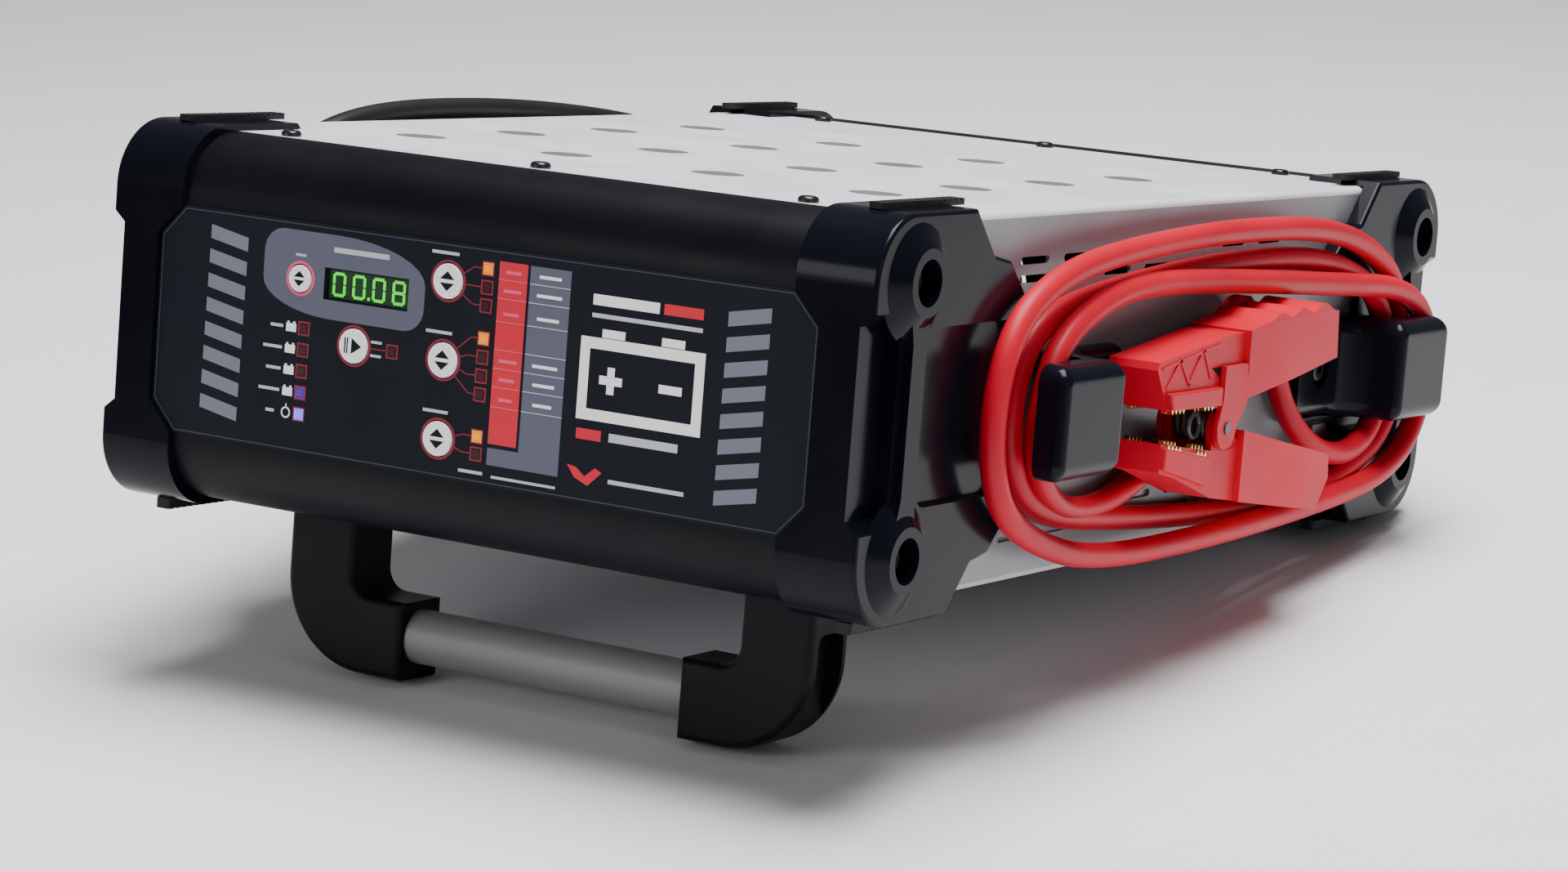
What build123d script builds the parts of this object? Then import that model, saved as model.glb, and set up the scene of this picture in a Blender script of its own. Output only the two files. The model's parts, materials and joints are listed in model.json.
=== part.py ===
from build123d import *
import math
import os

# Portable workshop battery charger: a sheet-steel case between two moulded end frames, four corner
# guards, a folding stand handle, and two battery leads wound round hooks on its sides.
#
# Body frame, millimetres: x across with 0 in the middle, y back from the front panel's face, z up
# from mid-height. The finished parts are tipped back by TILT, the way the charger stands on its
# unfolded handle and its rear feet, and moved so that the origin is bottom centre.

# ---- case ----
BODY_HALF_W = 165.5
BODY_HALF_H = 72.7
BODY_LEN = 501.0
NOSE_R = 28.0            # curve from the end frames' faces to their tops and undersides
WALL = 3.0               # moulded wall
SHEET = 1.6              # sheet steel
FRONT_DEPTH = 30.0       # front frame, face to seam
REAR_DEPTH = 48.0        # rear frame, seam to face
SEAM = 0.2               # gap left between neighbouring panels
SIDE_EDGE = 67.7         # lower edge of the cover's sides, below mid-height
TRAY_FACE = 70.0         # underside of the tray, below mid-height
COVER_SCREW_X = 118.6
FRONT_SCREW_Y = 37.0
REAR_SCREW_Y = 446.0

# ---- corner guards ----
GUARD_FRONT = 2.5        # how far they stand in front of the panel
GUARD_HALF_H = 75.2
GUARD_R = 26.0
GUARD_X = 173.0          # side plate's face
GUARD_INNER_X = 139.3
BOSS_Y = 26.0
BOSS_Z = 50.4
BOSS_X = 178.2
BOSS_RING_R = 12.6
BOSS_BASE_R = 23.0
GUARD_HOLE_R = 8.7
GUARD_BOLT_SEAT_X = 168.0
RAIL_X = 157.5           # ribbed rails on the guards' tops and undersides
RAIL_W = 7.0
RAIL_Y0 = 19.0
RAIL_LEN = 60.0
RAIL_H = 2.4
FOOT_H = 4.2

# ---- stand handle ----
PIVOT_Y = 72.0
PIVOT_Z = -56.0
ARM_OUT_X = 123.0
ARM_IN_X = 91.0
ARM_HALF_D = 14.0
ELBOW_LOW = -139.5
ELBOW_R = 37.0
SOCKET_IN_X = 65.5
SOCKET_TOP = -108.0
TUBE_R = 11.0
TUBE_Z = -122.5
RECESS_HALF_W = 127.0
RECESS_Y0 = 55.0
RECESS_Y1 = 160.0
RECESS_TOP = -39.5

# ---- side hooks ----
HOOK_Z0 = -26.0
HOOK_Z1 = 18.0
HOOK_FACE = 200.0        # outer face of the lips
LIP_T = 12.5
LIP_LEN = 50.0
ARM_T = 12.5
FLANGE_T = 8.0
FLANGE_LEN = 48.0
FRONT_ARM_Y = 148.0      # inboard face of the front hook's arm
REAR_ARM_Y = 412.0       # inboard face of the rear hook's arm

# ---- battery leads and clamps ----
LEAD_D = 10.0
CLAMP_X = 190.8          # middle of the clamps' width
CLAMP_Y = 230.0          # jaw pivot
CLAMP_Z = -13.6
HANDLE_HALF_W = 13.5
JAW_HALF_W = 10.8

# ---- front panel ----
KEY_R = 6.6
METER_KEY_R = 5.2
KEYS = {
    "key_meter": (-81.2, 22.6, METER_KEY_R),
    "key_voltage": (-12.3, 29.8, KEY_R),
    "key_current": (-12.3, 0.0, KEY_R),
    "key_function": (-12.3, -29.8, KEY_R),
    "key_start": (-54.0, 0.0, KEY_R),
}
KEY_TRAVEL = 0.8
DISPLAY_X = (-69.6, -30.6)
DISPLAY_Z = (16.3, 28.0)
LED_SIZE = 3.2
MODE_LED_X = 5.4
STATE_LED_X = -78.1
MODE_LED_Z = (36.5, 29.5, 22.6, 10.3, 3.3, -3.8, -10.8, -26.6, -33.2)
STATE_LED_Z = (3.6, -4.7, -12.9, -21.2, -29.5)
START_LED = (-36.1, 0.0)
OVERLAY_T = 0.6
BOARD_Y = 9.0
PCB_T = 1.6


# ---- small helpers ----
def block(x, y, z):
    """A box from three (low, high) pairs."""
    sizes = [high - low for low, high in (x, y, z)]
    centre = [(low + high) / 2 for low, high in (x, y, z)]
    return Pos(*centre) * Box(*sizes)


def rod_x(y, z, radius, x0, x1):
    return Pos((x0 + x1) / 2, y, z) * Rot(0, 90, 0) * Cylinder(radius, x1 - x0)


def rod_y(x, z, radius, y0, y1):
    return Pos(x, (y0 + y1) / 2, z) * Rot(90, 0, 0) * Cylinder(radius, y1 - y0)


def rod_z(x, y, radius, z0, z1):
    return Pos(x, y, (z0 + z1) / 2) * Cylinder(radius, z1 - z0)


def prism_x(points, x0, x1):
    """A closed outline of (y, z) points, extruded from x0 to x1."""
    face = make_face(Polyline(*[(x0, y, z) for y, z in points], close=True))
    return extrude(face, amount=x1 - x0, dir=(1, 0, 0))


def prism_y(points, y0, y1):
    """A closed outline of (x, z) points, extruded from y0 to y1."""
    face = make_face(Polyline(*[(x, y0, z) for x, z in points], close=True))
    return extrude(face, amount=y1 - y0, dir=(0, 1, 0))


def prism_z(points, z0, z1):
    """A closed outline of (x, y) points, extruded from z0 to z1."""
    face = make_face(Polyline(*[(x, y, z0) for x, y in points], close=True))
    return extrude(face, amount=z1 - z0, dir=(0, 0, 1))


def symmetric(upper):
    """A closed outline from its upper half, repeated below the middle."""
    return upper + [(along, -z) for along, z in reversed(upper)]


def other_side(shape):
    return mirror(shape, about=Plane.YZ)


def other_end(shape):
    """Mirror front to rear about the middle of the case."""
    return mirror(shape, about=Plane(origin=(0, BODY_LEN / 2, 0), z_dir=(0, 1, 0)))


def upside_down(shape):
    return mirror(shape, about=Plane.XY)


def group(shapes):
    return Compound([solid for shape in shapes for solid in shape.solids()])


def nose_block(half_w, half_h, radius, y0, y1):
    """A block whose front edges along x are rounded."""
    shape = block((-half_w, half_w), (y0, y1), (-half_h, half_h))
    return fillet(shape.edges().filter_by(Axis.X).group_by(Axis.Y)[0], radius)


def button_screw(x, y, z, head_r, head_h, shank_r, length):
    """A button-head screw pointing down, its head's underside at z."""
    head = rod_z(x, y, head_r, z, z + head_h)
    head = fillet(head.faces().sort_by(Axis.Z)[-1].edges(), head_h * 0.7)
    recess = rod_z(x, y, head_r * 0.35, z + head_h * 0.4, z + head_h)
    return head - recess + rod_z(x, y, shank_r, z - length, z)


# ---- case ----
def end_frame(depth):
    """Moulded end frame: a rounded shell with tongues that the cover and tray are screwed to."""
    outer = nose_block(BODY_HALF_W, BODY_HALF_H, NOSE_R, 0, depth)
    hollow = nose_block(BODY_HALF_W - WALL, BODY_HALF_H - WALL, NOSE_R - WALL, WALL, depth + 1)
    shape = outer - hollow
    tongue_x = (-150, 150)
    tongue_top = BODY_HALF_H - SHEET - SEAM
    shape += block(tongue_x, (depth - 6, depth + 14), (tongue_top - WALL, tongue_top))
    tray_top = SHEET - TRAY_FACE + SEAM
    shape += block(tongue_x, (depth - 6, depth + 14), (tray_top, tray_top + WALL))
    shape += block(tongue_x, (depth - 6, depth), (-BODY_HALF_H + WALL - 0.5, tray_top + WALL))
    return shape


def guard_bolt_holes(y):
    """Cutters for the guard bolts through one end frame's side walls."""
    holes = [rod_x(y, z, 3.0, x - 3, x + 3) for x in (-164, 164) for z in (-BOSS_Z, BOSS_Z)]
    return group(holes)


def front_frame():
    shape = end_frame(FRONT_DEPTH)
    for x, z, radius in KEYS.values():
        shape -= rod_y(x, z, radius + 0.4, -1, WALL + 1)
    shape -= block(DISPLAY_X, (-1, WALL + 1), DISPLAY_Z)
    for x, z in led_places():
        half = LED_SIZE / 2
        shape -= block((x - half, x + half), (-1, WALL + 1), (z - half, z + half))
    for x, z in board_posts():
        shape += rod_y(x, z, 3.5, WALL - 0.5, BOARD_Y)
    for x in (-COVER_SCREW_X, 0, COVER_SCREW_X):
        shape -= rod_z(x, FRONT_SCREW_Y, 2.1, 60, 75)
    return shape - guard_bolt_holes(BOSS_Y)


def rear_frame():
    shape = other_end(end_frame(REAR_DEPTH))
    for x in (-COVER_SCREW_X, 0, COVER_SCREW_X):
        shape -= rod_z(x, REAR_SCREW_Y, 2.1, 60, 75)
    shape -= guard_bolt_holes(BODY_LEN - BOSS_Y)
    wall = (BODY_LEN - WALL - 1, BODY_LEN + 1)
    shape -= block((INLET_X - 14, INLET_X + 14), wall, (INLET_Z - 10.2, INLET_Z + 10.2))
    shape -= block((SWITCH_X - 14, SWITCH_X + 14), wall, (SWITCH_Z - 10.5, SWITCH_Z + 10.5))
    shape -= rod_y(FUSE_X, FUSE_Z, 6.3, *wall)
    shape -= fan_grille(*wall)
    for x in (FAN_X - 35.75, FAN_X + 35.75):
        for z in (FAN_Z - 35.75, FAN_Z + 35.75):
            shape -= rod_y(x, z, 2.2, *wall)
    return shape


def fan_grille(y0, y1):
    """Cutter for the ring slots over the fan, crossed by four spokes."""
    cutter = None
    for inner, outer in ((12.5, 18.0), (21.0, 27.0), (30.0, 36.0)):
        ring = rod_y(FAN_X, FAN_Z, outer, y0, y1) - rod_y(FAN_X, FAN_Z, inner, y0, y1)
        cutter = ring if cutter is None else cutter + ring
    spoke = block((-2, 2), (y0, y1), (-45, 45))
    for turn in (45, 135):
        cutter -= Pos(FAN_X, 0, FAN_Z) * Rot(0, turn, 0) * spoke
    return cutter


VENT_LEN = 22.7
VENT_H = 3.1
VENT_PITCH = 35.0
VENT_Y0 = 118.0
VENT_ROWS = (53.0, 46.0, -46.0, -53.0)


def vent(y, z, x0, x1):
    r = VENT_H / 2
    slot = block((x0, x1), (y + r, y + VENT_LEN - r), (z - r, z + r))
    return slot + rod_x(y + r, z, r, x0, x1) + rod_x(y + VENT_LEN - r, z, r, x0, x1)


DIMPLE_PITCH = 71.0
DIMPLE_Y0 = 107.0
DIMPLE_R = 10.5
DIMPLE_DEPTH = 0.7


def top_cover():
    """Bent sheet: the top and both sides, with dimples above and vent slots at the sides."""
    y = (FRONT_DEPTH + SEAM, BODY_LEN - REAR_DEPTH - SEAM)
    shape = block((-BODY_HALF_W, BODY_HALF_W), y, (-SIDE_EDGE, BODY_HALF_H))
    shape = fillet(shape.edges().filter_by(Axis.Y).group_by(Axis.Z)[-1], 3.0)
    inside = BODY_HALF_W - SHEET
    hollow = block((-inside, inside), y, (-SIDE_EDGE - 1, BODY_HALF_H - SHEET))
    hollow = fillet(hollow.edges().filter_by(Axis.Y).group_by(Axis.Z)[-1], 1.4)
    shape -= hollow
    sphere_r = (DIMPLE_R ** 2 + DIMPLE_DEPTH ** 2) / (2 * DIMPLE_DEPTH)
    for i in range(4):
        for j in range(4):
            x = (i - 1.5) * DIMPLE_PITCH
            at = Pos(x, DIMPLE_Y0 + j * DIMPLE_PITCH, BODY_HALF_H - DIMPLE_DEPTH + sphere_r)
            shape -= at * Sphere(sphere_r)
    for z in VENT_ROWS:
        for i in range(8):
            start = VENT_Y0 + i * VENT_PITCH
            shape -= vent(start, z, inside - 2, BODY_HALF_W + 1)
            shape -= vent(start, z, -BODY_HALF_W - 1, 2 - inside)
    for x in (-COVER_SCREW_X, 0, COVER_SCREW_X):
        for screw_y in (FRONT_SCREW_Y, REAR_SCREW_Y):
            shape -= rod_z(x, screw_y, 2.15, 60, 75)
    return shape - hook_screw_holes()


def hook_screw_holes():
    places = [(side, y) for side in (-1, 1) for y in HOOK_SCREW_Y]
    z = (HOOK_Z0 + HOOK_Z1) / 2
    return group([rod_x(y, z, 3.1, side * 164 - 6, side * 164 + 6) for side, y in places])


def bottom_tray():
    """Bent tray: floor and low sides, with the tub that the folded handle lies in."""
    half = BODY_HALF_W - SHEET - SEAM
    y = (FRONT_DEPTH + SEAM, BODY_LEN - REAR_DEPTH - SEAM)
    shape = block((-half, half), y, (-TRAY_FACE, -40))
    inner = half - SHEET
    shape -= block((-inner, inner), y, (-TRAY_FACE + SHEET, -39))
    tub_w = RECESS_HALF_W + SHEET
    tub_y = (RECESS_Y0 - SHEET, RECESS_Y1 + SHEET)
    shape += block((-tub_w, tub_w), tub_y, (-TRAY_FACE, RECESS_TOP + SHEET))
    recess_y = (RECESS_Y0, RECESS_Y1)
    shape -= block((-RECESS_HALF_W, RECESS_HALF_W), recess_y, (-TRAY_FACE - 1, RECESS_TOP))
    for x, standoff_y in standoffs():
        shape += rod_z(x, standoff_y, 4.0, -TRAY_FACE, BOARD_Z)
    for x in bracket_places():
        shape -= rod_z(x, PIVOT_Y, 1.6, RECESS_TOP - 1, RECESS_TOP + 3)
    arm_front = PIVOT_Y - ARM_HALF_D
    for side in (-1, 1):
        stop_x = sorted((side * (ARM_IN_X + 4), side * (ARM_OUT_X - 4)))
        shape += block(stop_x, (RECESS_Y0 - 0.5, arm_front - SEAM), (-TRAY_FACE, -62))
    return shape


def standoffs():
    return [(x, y) for x in (-115, 115) for y in (185, 305, 425)]


# ---- rear panel fittings ----
INLET_X = 95.0
INLET_Z = 18.0
SWITCH_X = 95.0
SWITCH_Z = -24.0
FUSE_X = 45.0
FUSE_Z = -24.0
FAN_X = -55.0
FAN_Z = 0.0
FAN_DEPTH = 25.0
PIN_SETBACK = 6.0        # the inlet's pins end this far inside the wall's face


def mains_inlet():
    """Three-pin appliance inlet with its flange outside the rear wall."""
    face = BODY_LEN
    shape = block((-24, 24), (0, 2.6), (-13.5, 13.5))
    shape = fillet(shape.edges().filter_by(Axis.Y), 5.0)
    shape += block((-13.8, 13.8), (-26, 0.5), (-10, 10))
    cavity = block((-12.2, 12.2), (-16, 3), (-8.2, 8.2))
    cavity = chamfer(cavity.edges().filter_by(Axis.Y).group_by(Axis.Z)[-1], 4.5)
    shape -= cavity
    for x, z in ((-7, -2), (0, 2), (7, -2)):
        shape += block((x - 1, x + 1), (-17, -PIN_SETBACK), (z - 2, z + 2))
        shape += block((x - 3, x + 3), (-34, -25.5), (z - 0.5, z + 0.5))
    return Pos(INLET_X, face, INLET_Z) * shape


def fuse_holder():
    face = BODY_LEN
    cap = rod_y(FUSE_X, FUSE_Z, 8.5, face, face + 3)
    cap += rod_y(FUSE_X, FUSE_Z, 6.0, face + 2.5, face + 7)
    cap -= block((FUSE_X - 5, FUSE_X + 5), (face + 5.5, face + 8), (FUSE_Z - 0.8, FUSE_Z + 0.8))
    return cap + rod_y(FUSE_X, FUSE_Z, 6.1, face - 30, face + 0.5)


def switch_housing():
    """Open bezel and body that the mains rocker turns in."""
    shape = block((-16, 16), (0, 2), (-12.5, 12.5))
    shape += block((-13.8, 13.8), (-22, 0.5), (-10.3, 10.3))
    shape -= block((-12, 12), (-12, 3), (-8.5, 8.5))
    return Pos(SWITCH_X, BODY_LEN, SWITCH_Z) * shape


ROCKER_TILT = 12.0
ROCKER_PIVOT_Y = BODY_LEN - 5.0


def power_rocker():
    """Rocker pressed at its lower half; its two faces meet in a shallow vee."""
    pivot = (ROCKER_PIVOT_Y, SWITCH_Z)
    half = 7.4
    outline = [(-3.2, -half + 1.5), (-3.2, half - 1.5), (5.4, half), (4.0, 0), (5.4, -half)]
    shape = prism_x(outline, SWITCH_X - 11.5, SWITCH_X + 11.5)
    return Pos(0, *pivot) * Rot(ROCKER_TILT, 0, 0) * shape


def fan_frame():
    """Square fan housing behind the rear wall's grille."""
    back = BODY_LEN - WALL - SEAM
    y = (back - FAN_DEPTH, back)
    shape = block((FAN_X - 40, FAN_X + 40), y, (FAN_Z - 40, FAN_Z + 40))
    shape = fillet(shape.edges().filter_by(Axis.Y), 4.0)
    shape -= rod_y(FAN_X, FAN_Z, 38.0, y[0] - 1, y[1] + 1)
    hub_y = (y[0], y[0] + 4)
    shape += rod_y(FAN_X, FAN_Z, 15.0, *hub_y)
    for turn in (45, 135):
        shape += Pos(FAN_X, 0, FAN_Z) * Rot(0, turn, 0) * block((-1.6, 1.6), hub_y, (-39, 39))
    for x in (-35.75, 35.75):
        for z in (-35.75, 35.75):
            shape -= rod_y(FAN_X + x, FAN_Z + z, 2.2, y[0] - 1, y[1] + 1)
    return shape + rod_y(FAN_X, FAN_Z, 2.0, y[0] + 3, y[0] + 14)


def fan_rotor():
    """Cup hub with seven slanted blades, turning on the frame's stub shaft."""
    y0 = BODY_LEN - WALL - SEAM - FAN_DEPTH + 5
    y1 = y0 + 17
    shape = rod_y(0, 0, 16.0, y0, y1) - rod_y(0, 0, 2.05, y0 - 1, y0 + 11)
    for i in range(7):
        blade = block((-0.9, 0.9), (-8.5, 8.5), (15, 36.5))
        blade = Pos(0, (y0 + y1) / 2, 0) * Rot(0, 0, 38) * blade
        shape += Rot(0, i * 360 / 7, 0) * blade
    return Pos(FAN_X, 0, FAN_Z) * shape


# ---- electronics ----
BOARD_Z = -58.0


def power_board():
    shape = block((-130, 130), (172, 438), (BOARD_Z, BOARD_Z + PCB_T))
    for x, height in ((-60, 18), (20, 30)):
        shape += block((x, x + 22), (190, 214), (BOARD_Z + PCB_T - 0.1, BOARD_Z + height))
    for x, y in standoffs():
        shape -= rod_z(x, y, 1.7, BOARD_Z - 1, BOARD_Z + 3)
    return shape


def transformer():
    """Ferrite core in two halves round a wound bobbin."""
    z0 = BOARD_Z + PCB_T
    core = block((-30, 42), (330, 400), (z0, z0 + 62))
    core -= block((-18, 30), (329, 401), (z0 + 14, z0 + 48))
    winding = block((-16, 28), (322, 408), (z0 + 15, z0 + 47))
    winding = fillet(winding.edges().filter_by(Axis.Z), 12.0)
    return core + winding


def heatsink():
    """Finned extrusion standing along the board, with the power devices' face towards the middle."""
    z0 = BOARD_Z + PCB_T
    shape = block((64, 69), (190, 420), (z0, z0 + 74))
    for i in range(9):
        z = z0 + 4 + i * 8.4
        shape += block((68.5, 98), (190, 420), (z, z + 2))
    return shape


def capacitors():
    z0 = BOARD_Z + PCB_T
    places = [(-95, 215), (-95, 255), (-95, 295), (-58, 255)]
    cans = []
    for x, y in places:
        can = rod_z(x, y, 16.0, z0, z0 + 46)
        cans.append(fillet(can.faces().sort_by(Axis.Z)[-1].edges(), 2.0))
    return group(cans)


def board_posts():
    return [(x, z) for x in (-104, 24) for z in (-40, 40)]


def control_board():
    """Panel board with a switch dome behind every key."""
    shape = block((-112, 32), (BOARD_Y, BOARD_Y + PCB_T), (-46, 46))
    for x, z, radius in KEYS.values():
        shape += rod_y(x, z, 3.0, 4.5 + KEY_TRAVEL + 0.1, BOARD_Y + 0.5)
    shape += block((-30, 10), (BOARD_Y + PCB_T - 0.1, BOARD_Y + 9), (-36, -22))
    return shape


def display_module():
    x0, x1 = DISPLAY_X
    z0, z1 = DISPLAY_Z
    return block((x0 + 0.8, x1 - 0.8), (1.4, BOARD_Y), (z0 + 0.4, z1 - 0.4))


def display_window():
    """Clear window in the panel, flush with the overlay."""
    x0, x1 = DISPLAY_X
    z0, z1 = DISPLAY_Z
    return block((x0 + 0.1, x1 - 0.1), (-OVERLAY_T, 1.2), (z0 + 0.1, z1 - 0.1))


def led_places():
    places = [(MODE_LED_X, z) for z in MODE_LED_Z]
    places += [(STATE_LED_X, z) for z in STATE_LED_Z]
    return places + [START_LED]


def led_lenses():
    half = LED_SIZE / 2 - 0.1
    lenses = []
    y = (-OVERLAY_T - 0.2, BOARD_Y)
    for x, z in led_places():
        lenses.append(block((x - half, x + half), y, (z - half, z + half)))
    return group(lenses)


def overlay_panel():
    """Thin printed plate on the front face, shaped to the guards' inner edges."""
    low_x, mid_x = GUARD_INNER_X - 0.4, 149.9
    top_z, shoulder_z = 44.6, 32.8
    right = [(low_x, -top_z), (mid_x, -shoulder_z), (mid_x, shoulder_z), (low_x, top_z)]
    left = [(-x, z) for x, z in reversed(right)]
    shape = prism_y(right + left, -OVERLAY_T, 0)
    for x, z, radius in KEYS.values():
        shape -= rod_y(x, z, radius + 0.4, -2, 1)
    shape -= block(DISPLAY_X, (-2, 1), DISPLAY_Z)
    for x, z in led_places():
        half = LED_SIZE / 2
        shape -= block((x - half, x + half), (-2, 1), (z - half, z + half))
    return shape


def key(x, z, radius):
    """Domed key cap with a flange that keeps it behind the panel."""
    cap = rod_y(x, z, radius, -1.5, WALL + 0.4)
    cap = fillet(cap.faces().sort_by(Axis.Y)[0].edges(), 0.5)
    return cap + rod_y(x, z, radius + 1.2, WALL + 0.3, 4.5)


# ---- corner guards ----
def guard_outline():
    """Side outline of a guard, from the middle of its front edge round its upper half."""
    return [
        (-GUARD_FRONT, 0),
        (-GUARD_FRONT, GUARD_HALF_H),
        (68.0, GUARD_HALF_H),
        (84.0, 57.5),
        (97.0, 55.0),
        (114.0, 38.5),
        (118.0, 32.0),
        (118.0, 0),
    ]


def guard(rear):
    """Front right guard; the rear ones also leave room for the hooks' arms."""
    upper = guard_outline()
    lower = [(y, -z) for y, z in reversed(upper[1:-1])]
    shape = prism_x(upper + lower, GUARD_INNER_X, GUARD_X)
    shape = fillet(shape.edges().filter_by(Axis.X).group_by(Axis.Y)[0], GUARD_R)
    rim = shape.faces().sort_by(Axis.X)[-1].edges()
    shape = fillet(rim, 1.6)
    shape -= nose_block(BODY_HALF_W + SEAM, BODY_HALF_H + SEAM, NOSE_R + SEAM, -SEAM, 200)
    shape -= prism_y(symmetric([(100.0, 44.6), (GUARD_INNER_X, 44.6), (150.3, 32.8)]), -10, 5)
    shape -= prism_y(symmetric([(180.0, 45.5), (167.2, 35.0)]), -10, 17.0)
    pocket = block((169.0, 180.0), (37.0, 104.0), (-33.0, 33.0))
    shape -= fillet(pocket.edges().filter_by(Axis.X), 7.0)
    if rear:
        shape -= block((160.0, 180.0), (71.0, 130.0), (-28.0, 28.0))
    waist = symmetric([(31.0, 28.0), (35.0, 46.0), (17.0, 46.0), (21.5, 28.0)])
    shape += prism_x(waist, GUARD_X - 3.0, GUARD_X + 3.0)
    for z in (-BOSS_Z, BOSS_Z):
        height = BOSS_X - GUARD_X + 1.0
        cone = Rot(0, 90, 0) * Cone(BOSS_BASE_R, BOSS_RING_R, height)
        shape += Pos(BOSS_X - height / 2, BOSS_Y, z) * cone
    for z in (-BOSS_Z, BOSS_Z):
        shape -= rod_x(BOSS_Y, z, GUARD_HOLE_R, GUARD_BOLT_SEAT_X, 190)
        shape -= rod_x(BOSS_Y, z, 3.2, 160, 175)
    return shape


def guard_bolts():
    bolts = []
    for end in (BOSS_Y, BODY_LEN - BOSS_Y):
        for z in (-BOSS_Z, BOSS_Z):
            head = rod_x(end, z, 5.5, GUARD_BOLT_SEAT_X, GUARD_BOLT_SEAT_X + 4.5)
            head = fillet(head.faces().sort_by(Axis.X)[-1].edges(), 1.6)
            head -= rod_x(end, z, 2.3, GUARD_BOLT_SEAT_X + 2, GUARD_BOLT_SEAT_X + 6)
            bolt = head + rod_x(end, z, 3.0, 156, GUARD_BOLT_SEAT_X + 0.5)
            bolts += [bolt, other_side(bolt)]
    return group(bolts)


def ribbed_rail(height, sign):
    """One grip rail along a guard: a low block crossed by fine ribs."""
    z_face = GUARD_HALF_H
    x = (RAIL_X - RAIL_W / 2, RAIL_X + RAIL_W / 2)
    shape = block(x, (RAIL_Y0, RAIL_Y0 + RAIL_LEN), (z_face, z_face + height))
    shape = fillet(shape.edges().filter_by(Axis.Z), 1.5)
    grooves = 14
    pitch = RAIL_LEN / (grooves + 1)
    for i in range(grooves):
        y = RAIL_Y0 + (i + 1) * pitch
        shape -= block((150, 165), (y - 0.7, y + 0.7), (z_face + height - 0.7, z_face + height + 1))
    return shape if sign > 0 else upside_down(shape)


def rails(height, sign):
    one = ribbed_rail(height, sign)
    pair = [one, other_side(one)]
    return group(pair + [other_end(shape) for shape in pair])


# ---- stand handle ----
def elbow_outline():
    """Front outline of one arm with its elbow and socket, as (x, z) corners before rounding."""
    return [
        (ARM_IN_X, PIVOT_Z + ARM_HALF_D),
        (ARM_OUT_X, PIVOT_Z + ARM_HALF_D),
        (ARM_OUT_X, ELBOW_LOW),
        (SOCKET_IN_X, ELBOW_LOW),
        (SOCKET_IN_X, SOCKET_TOP),
        (ARM_IN_X, SOCKET_TOP),
    ]


def handle_arm():
    """Right arm: moulded elbow with a pivot eye, a tube socket and a pocket in its outer side."""
    y = (PIVOT_Y - ARM_HALF_D, PIVOT_Y + ARM_HALF_D)
    shape = prism_y(elbow_outline(), *y)
    along_y = shape.edges().filter_by(Axis.Y)
    corner = along_y.group_by(Axis.Z)[0].sort_by(Axis.X)[-1]
    shape = fillet(corner, ELBOW_R)
    along_y = shape.edges().filter_by(Axis.Y)
    inner = along_y.filter_by_position(Axis.X, ARM_IN_X - 0.1, ARM_IN_X + 0.1)
    inner = inner.filter_by_position(Axis.Z, SOCKET_TOP - 0.1, SOCKET_TOP + 0.1)
    shape = fillet(inner, 9.0)
    low = shape.faces().filter_by(Axis.Y)
    shape = fillet(low.edges().filter_by_position(Axis.Z, ELBOW_LOW - 1, -75), 3.0)
    top = shape.edges().filter_by(Axis.X).group_by(Axis.Z)[-1]
    shape = fillet(top, ARM_HALF_D - 0.5)
    pocket = block((ARM_OUT_X - 7, ARM_OUT_X + 5), (PIVOT_Y - 9, PIVOT_Y + 9.5), (-126, -91))
    pocket = fillet(pocket.edges().filter_by(Axis.X), 4.0)
    shape -= pocket
    shape -= rod_x(PIVOT_Y, TUBE_Z, TUBE_R + 0.05, SOCKET_IN_X - 1, SOCKET_IN_X + 26)
    shape -= rod_x(PIVOT_Y, PIVOT_Z, 4.05, ARM_IN_X - 1, ARM_OUT_X + 1)
    return shape


def handle_tube():
    half = SOCKET_IN_X + 25
    shape = rod_x(PIVOT_Y, TUBE_Z, TUBE_R, -half, half)
    return shape - rod_x(PIVOT_Y, TUBE_Z, TUBE_R - 1.5, -half - 1, half + 1)


BRACKET_T = 3.0


def bracket_places():
    return [-ARM_IN_X + 14.5, ARM_IN_X - 14.5]


def handle_bracket():
    """Steel angle screwed to the tub's roof, holding the right arm's pin."""
    x1 = ARM_IN_X - 1.0
    ear = block((x1 - BRACKET_T, x1), (PIVOT_Y - 9, PIVOT_Y + 9), (PIVOT_Z - 9, RECESS_TOP))
    ear = fillet(ear.edges().filter_by(Axis.X).group_by(Axis.Z)[0], 8.5)
    foot = block((x1 - 24, x1), (PIVOT_Y - 9, PIVOT_Y + 9), (RECESS_TOP - BRACKET_T, RECESS_TOP))
    shape = ear + foot
    shape -= rod_x(PIVOT_Y, PIVOT_Z, 4.0, x1 - 5, x1 + 1)
    return shape - rod_z(ARM_IN_X - 14.5, PIVOT_Y, 1.7, RECESS_TOP - 5, RECESS_TOP + 1)


def handle_pin():
    """Headed pin from the bracket through the right arm's eye."""
    x0 = ARM_IN_X - 1.0 - BRACKET_T
    shape = rod_x(PIVOT_Y, PIVOT_Z, 4.0, x0, ARM_OUT_X + 0.4)
    shape += rod_x(PIVOT_Y, PIVOT_Z, 7.0, ARM_OUT_X + 0.4, ARM_OUT_X + 2.4)
    return shape + rod_x(PIVOT_Y, PIVOT_Z, 6.0, x0 - 2.0, x0)


# ---- side hooks ----
HOOK_SCREW_Y = (FRONT_ARM_Y + 26.0, REAR_ARM_Y - 26.0)


def upright_edges(shape, x, y=None):
    """The edges along z at this x, and at this y if one is given."""
    edges = shape.edges().filter_by(Axis.Z).filter_by_position(Axis.X, x - 0.1, x + 0.1)
    return edges if y is None else edges.filter_by_position(Axis.Y, y - 0.1, y + 0.1)


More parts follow.
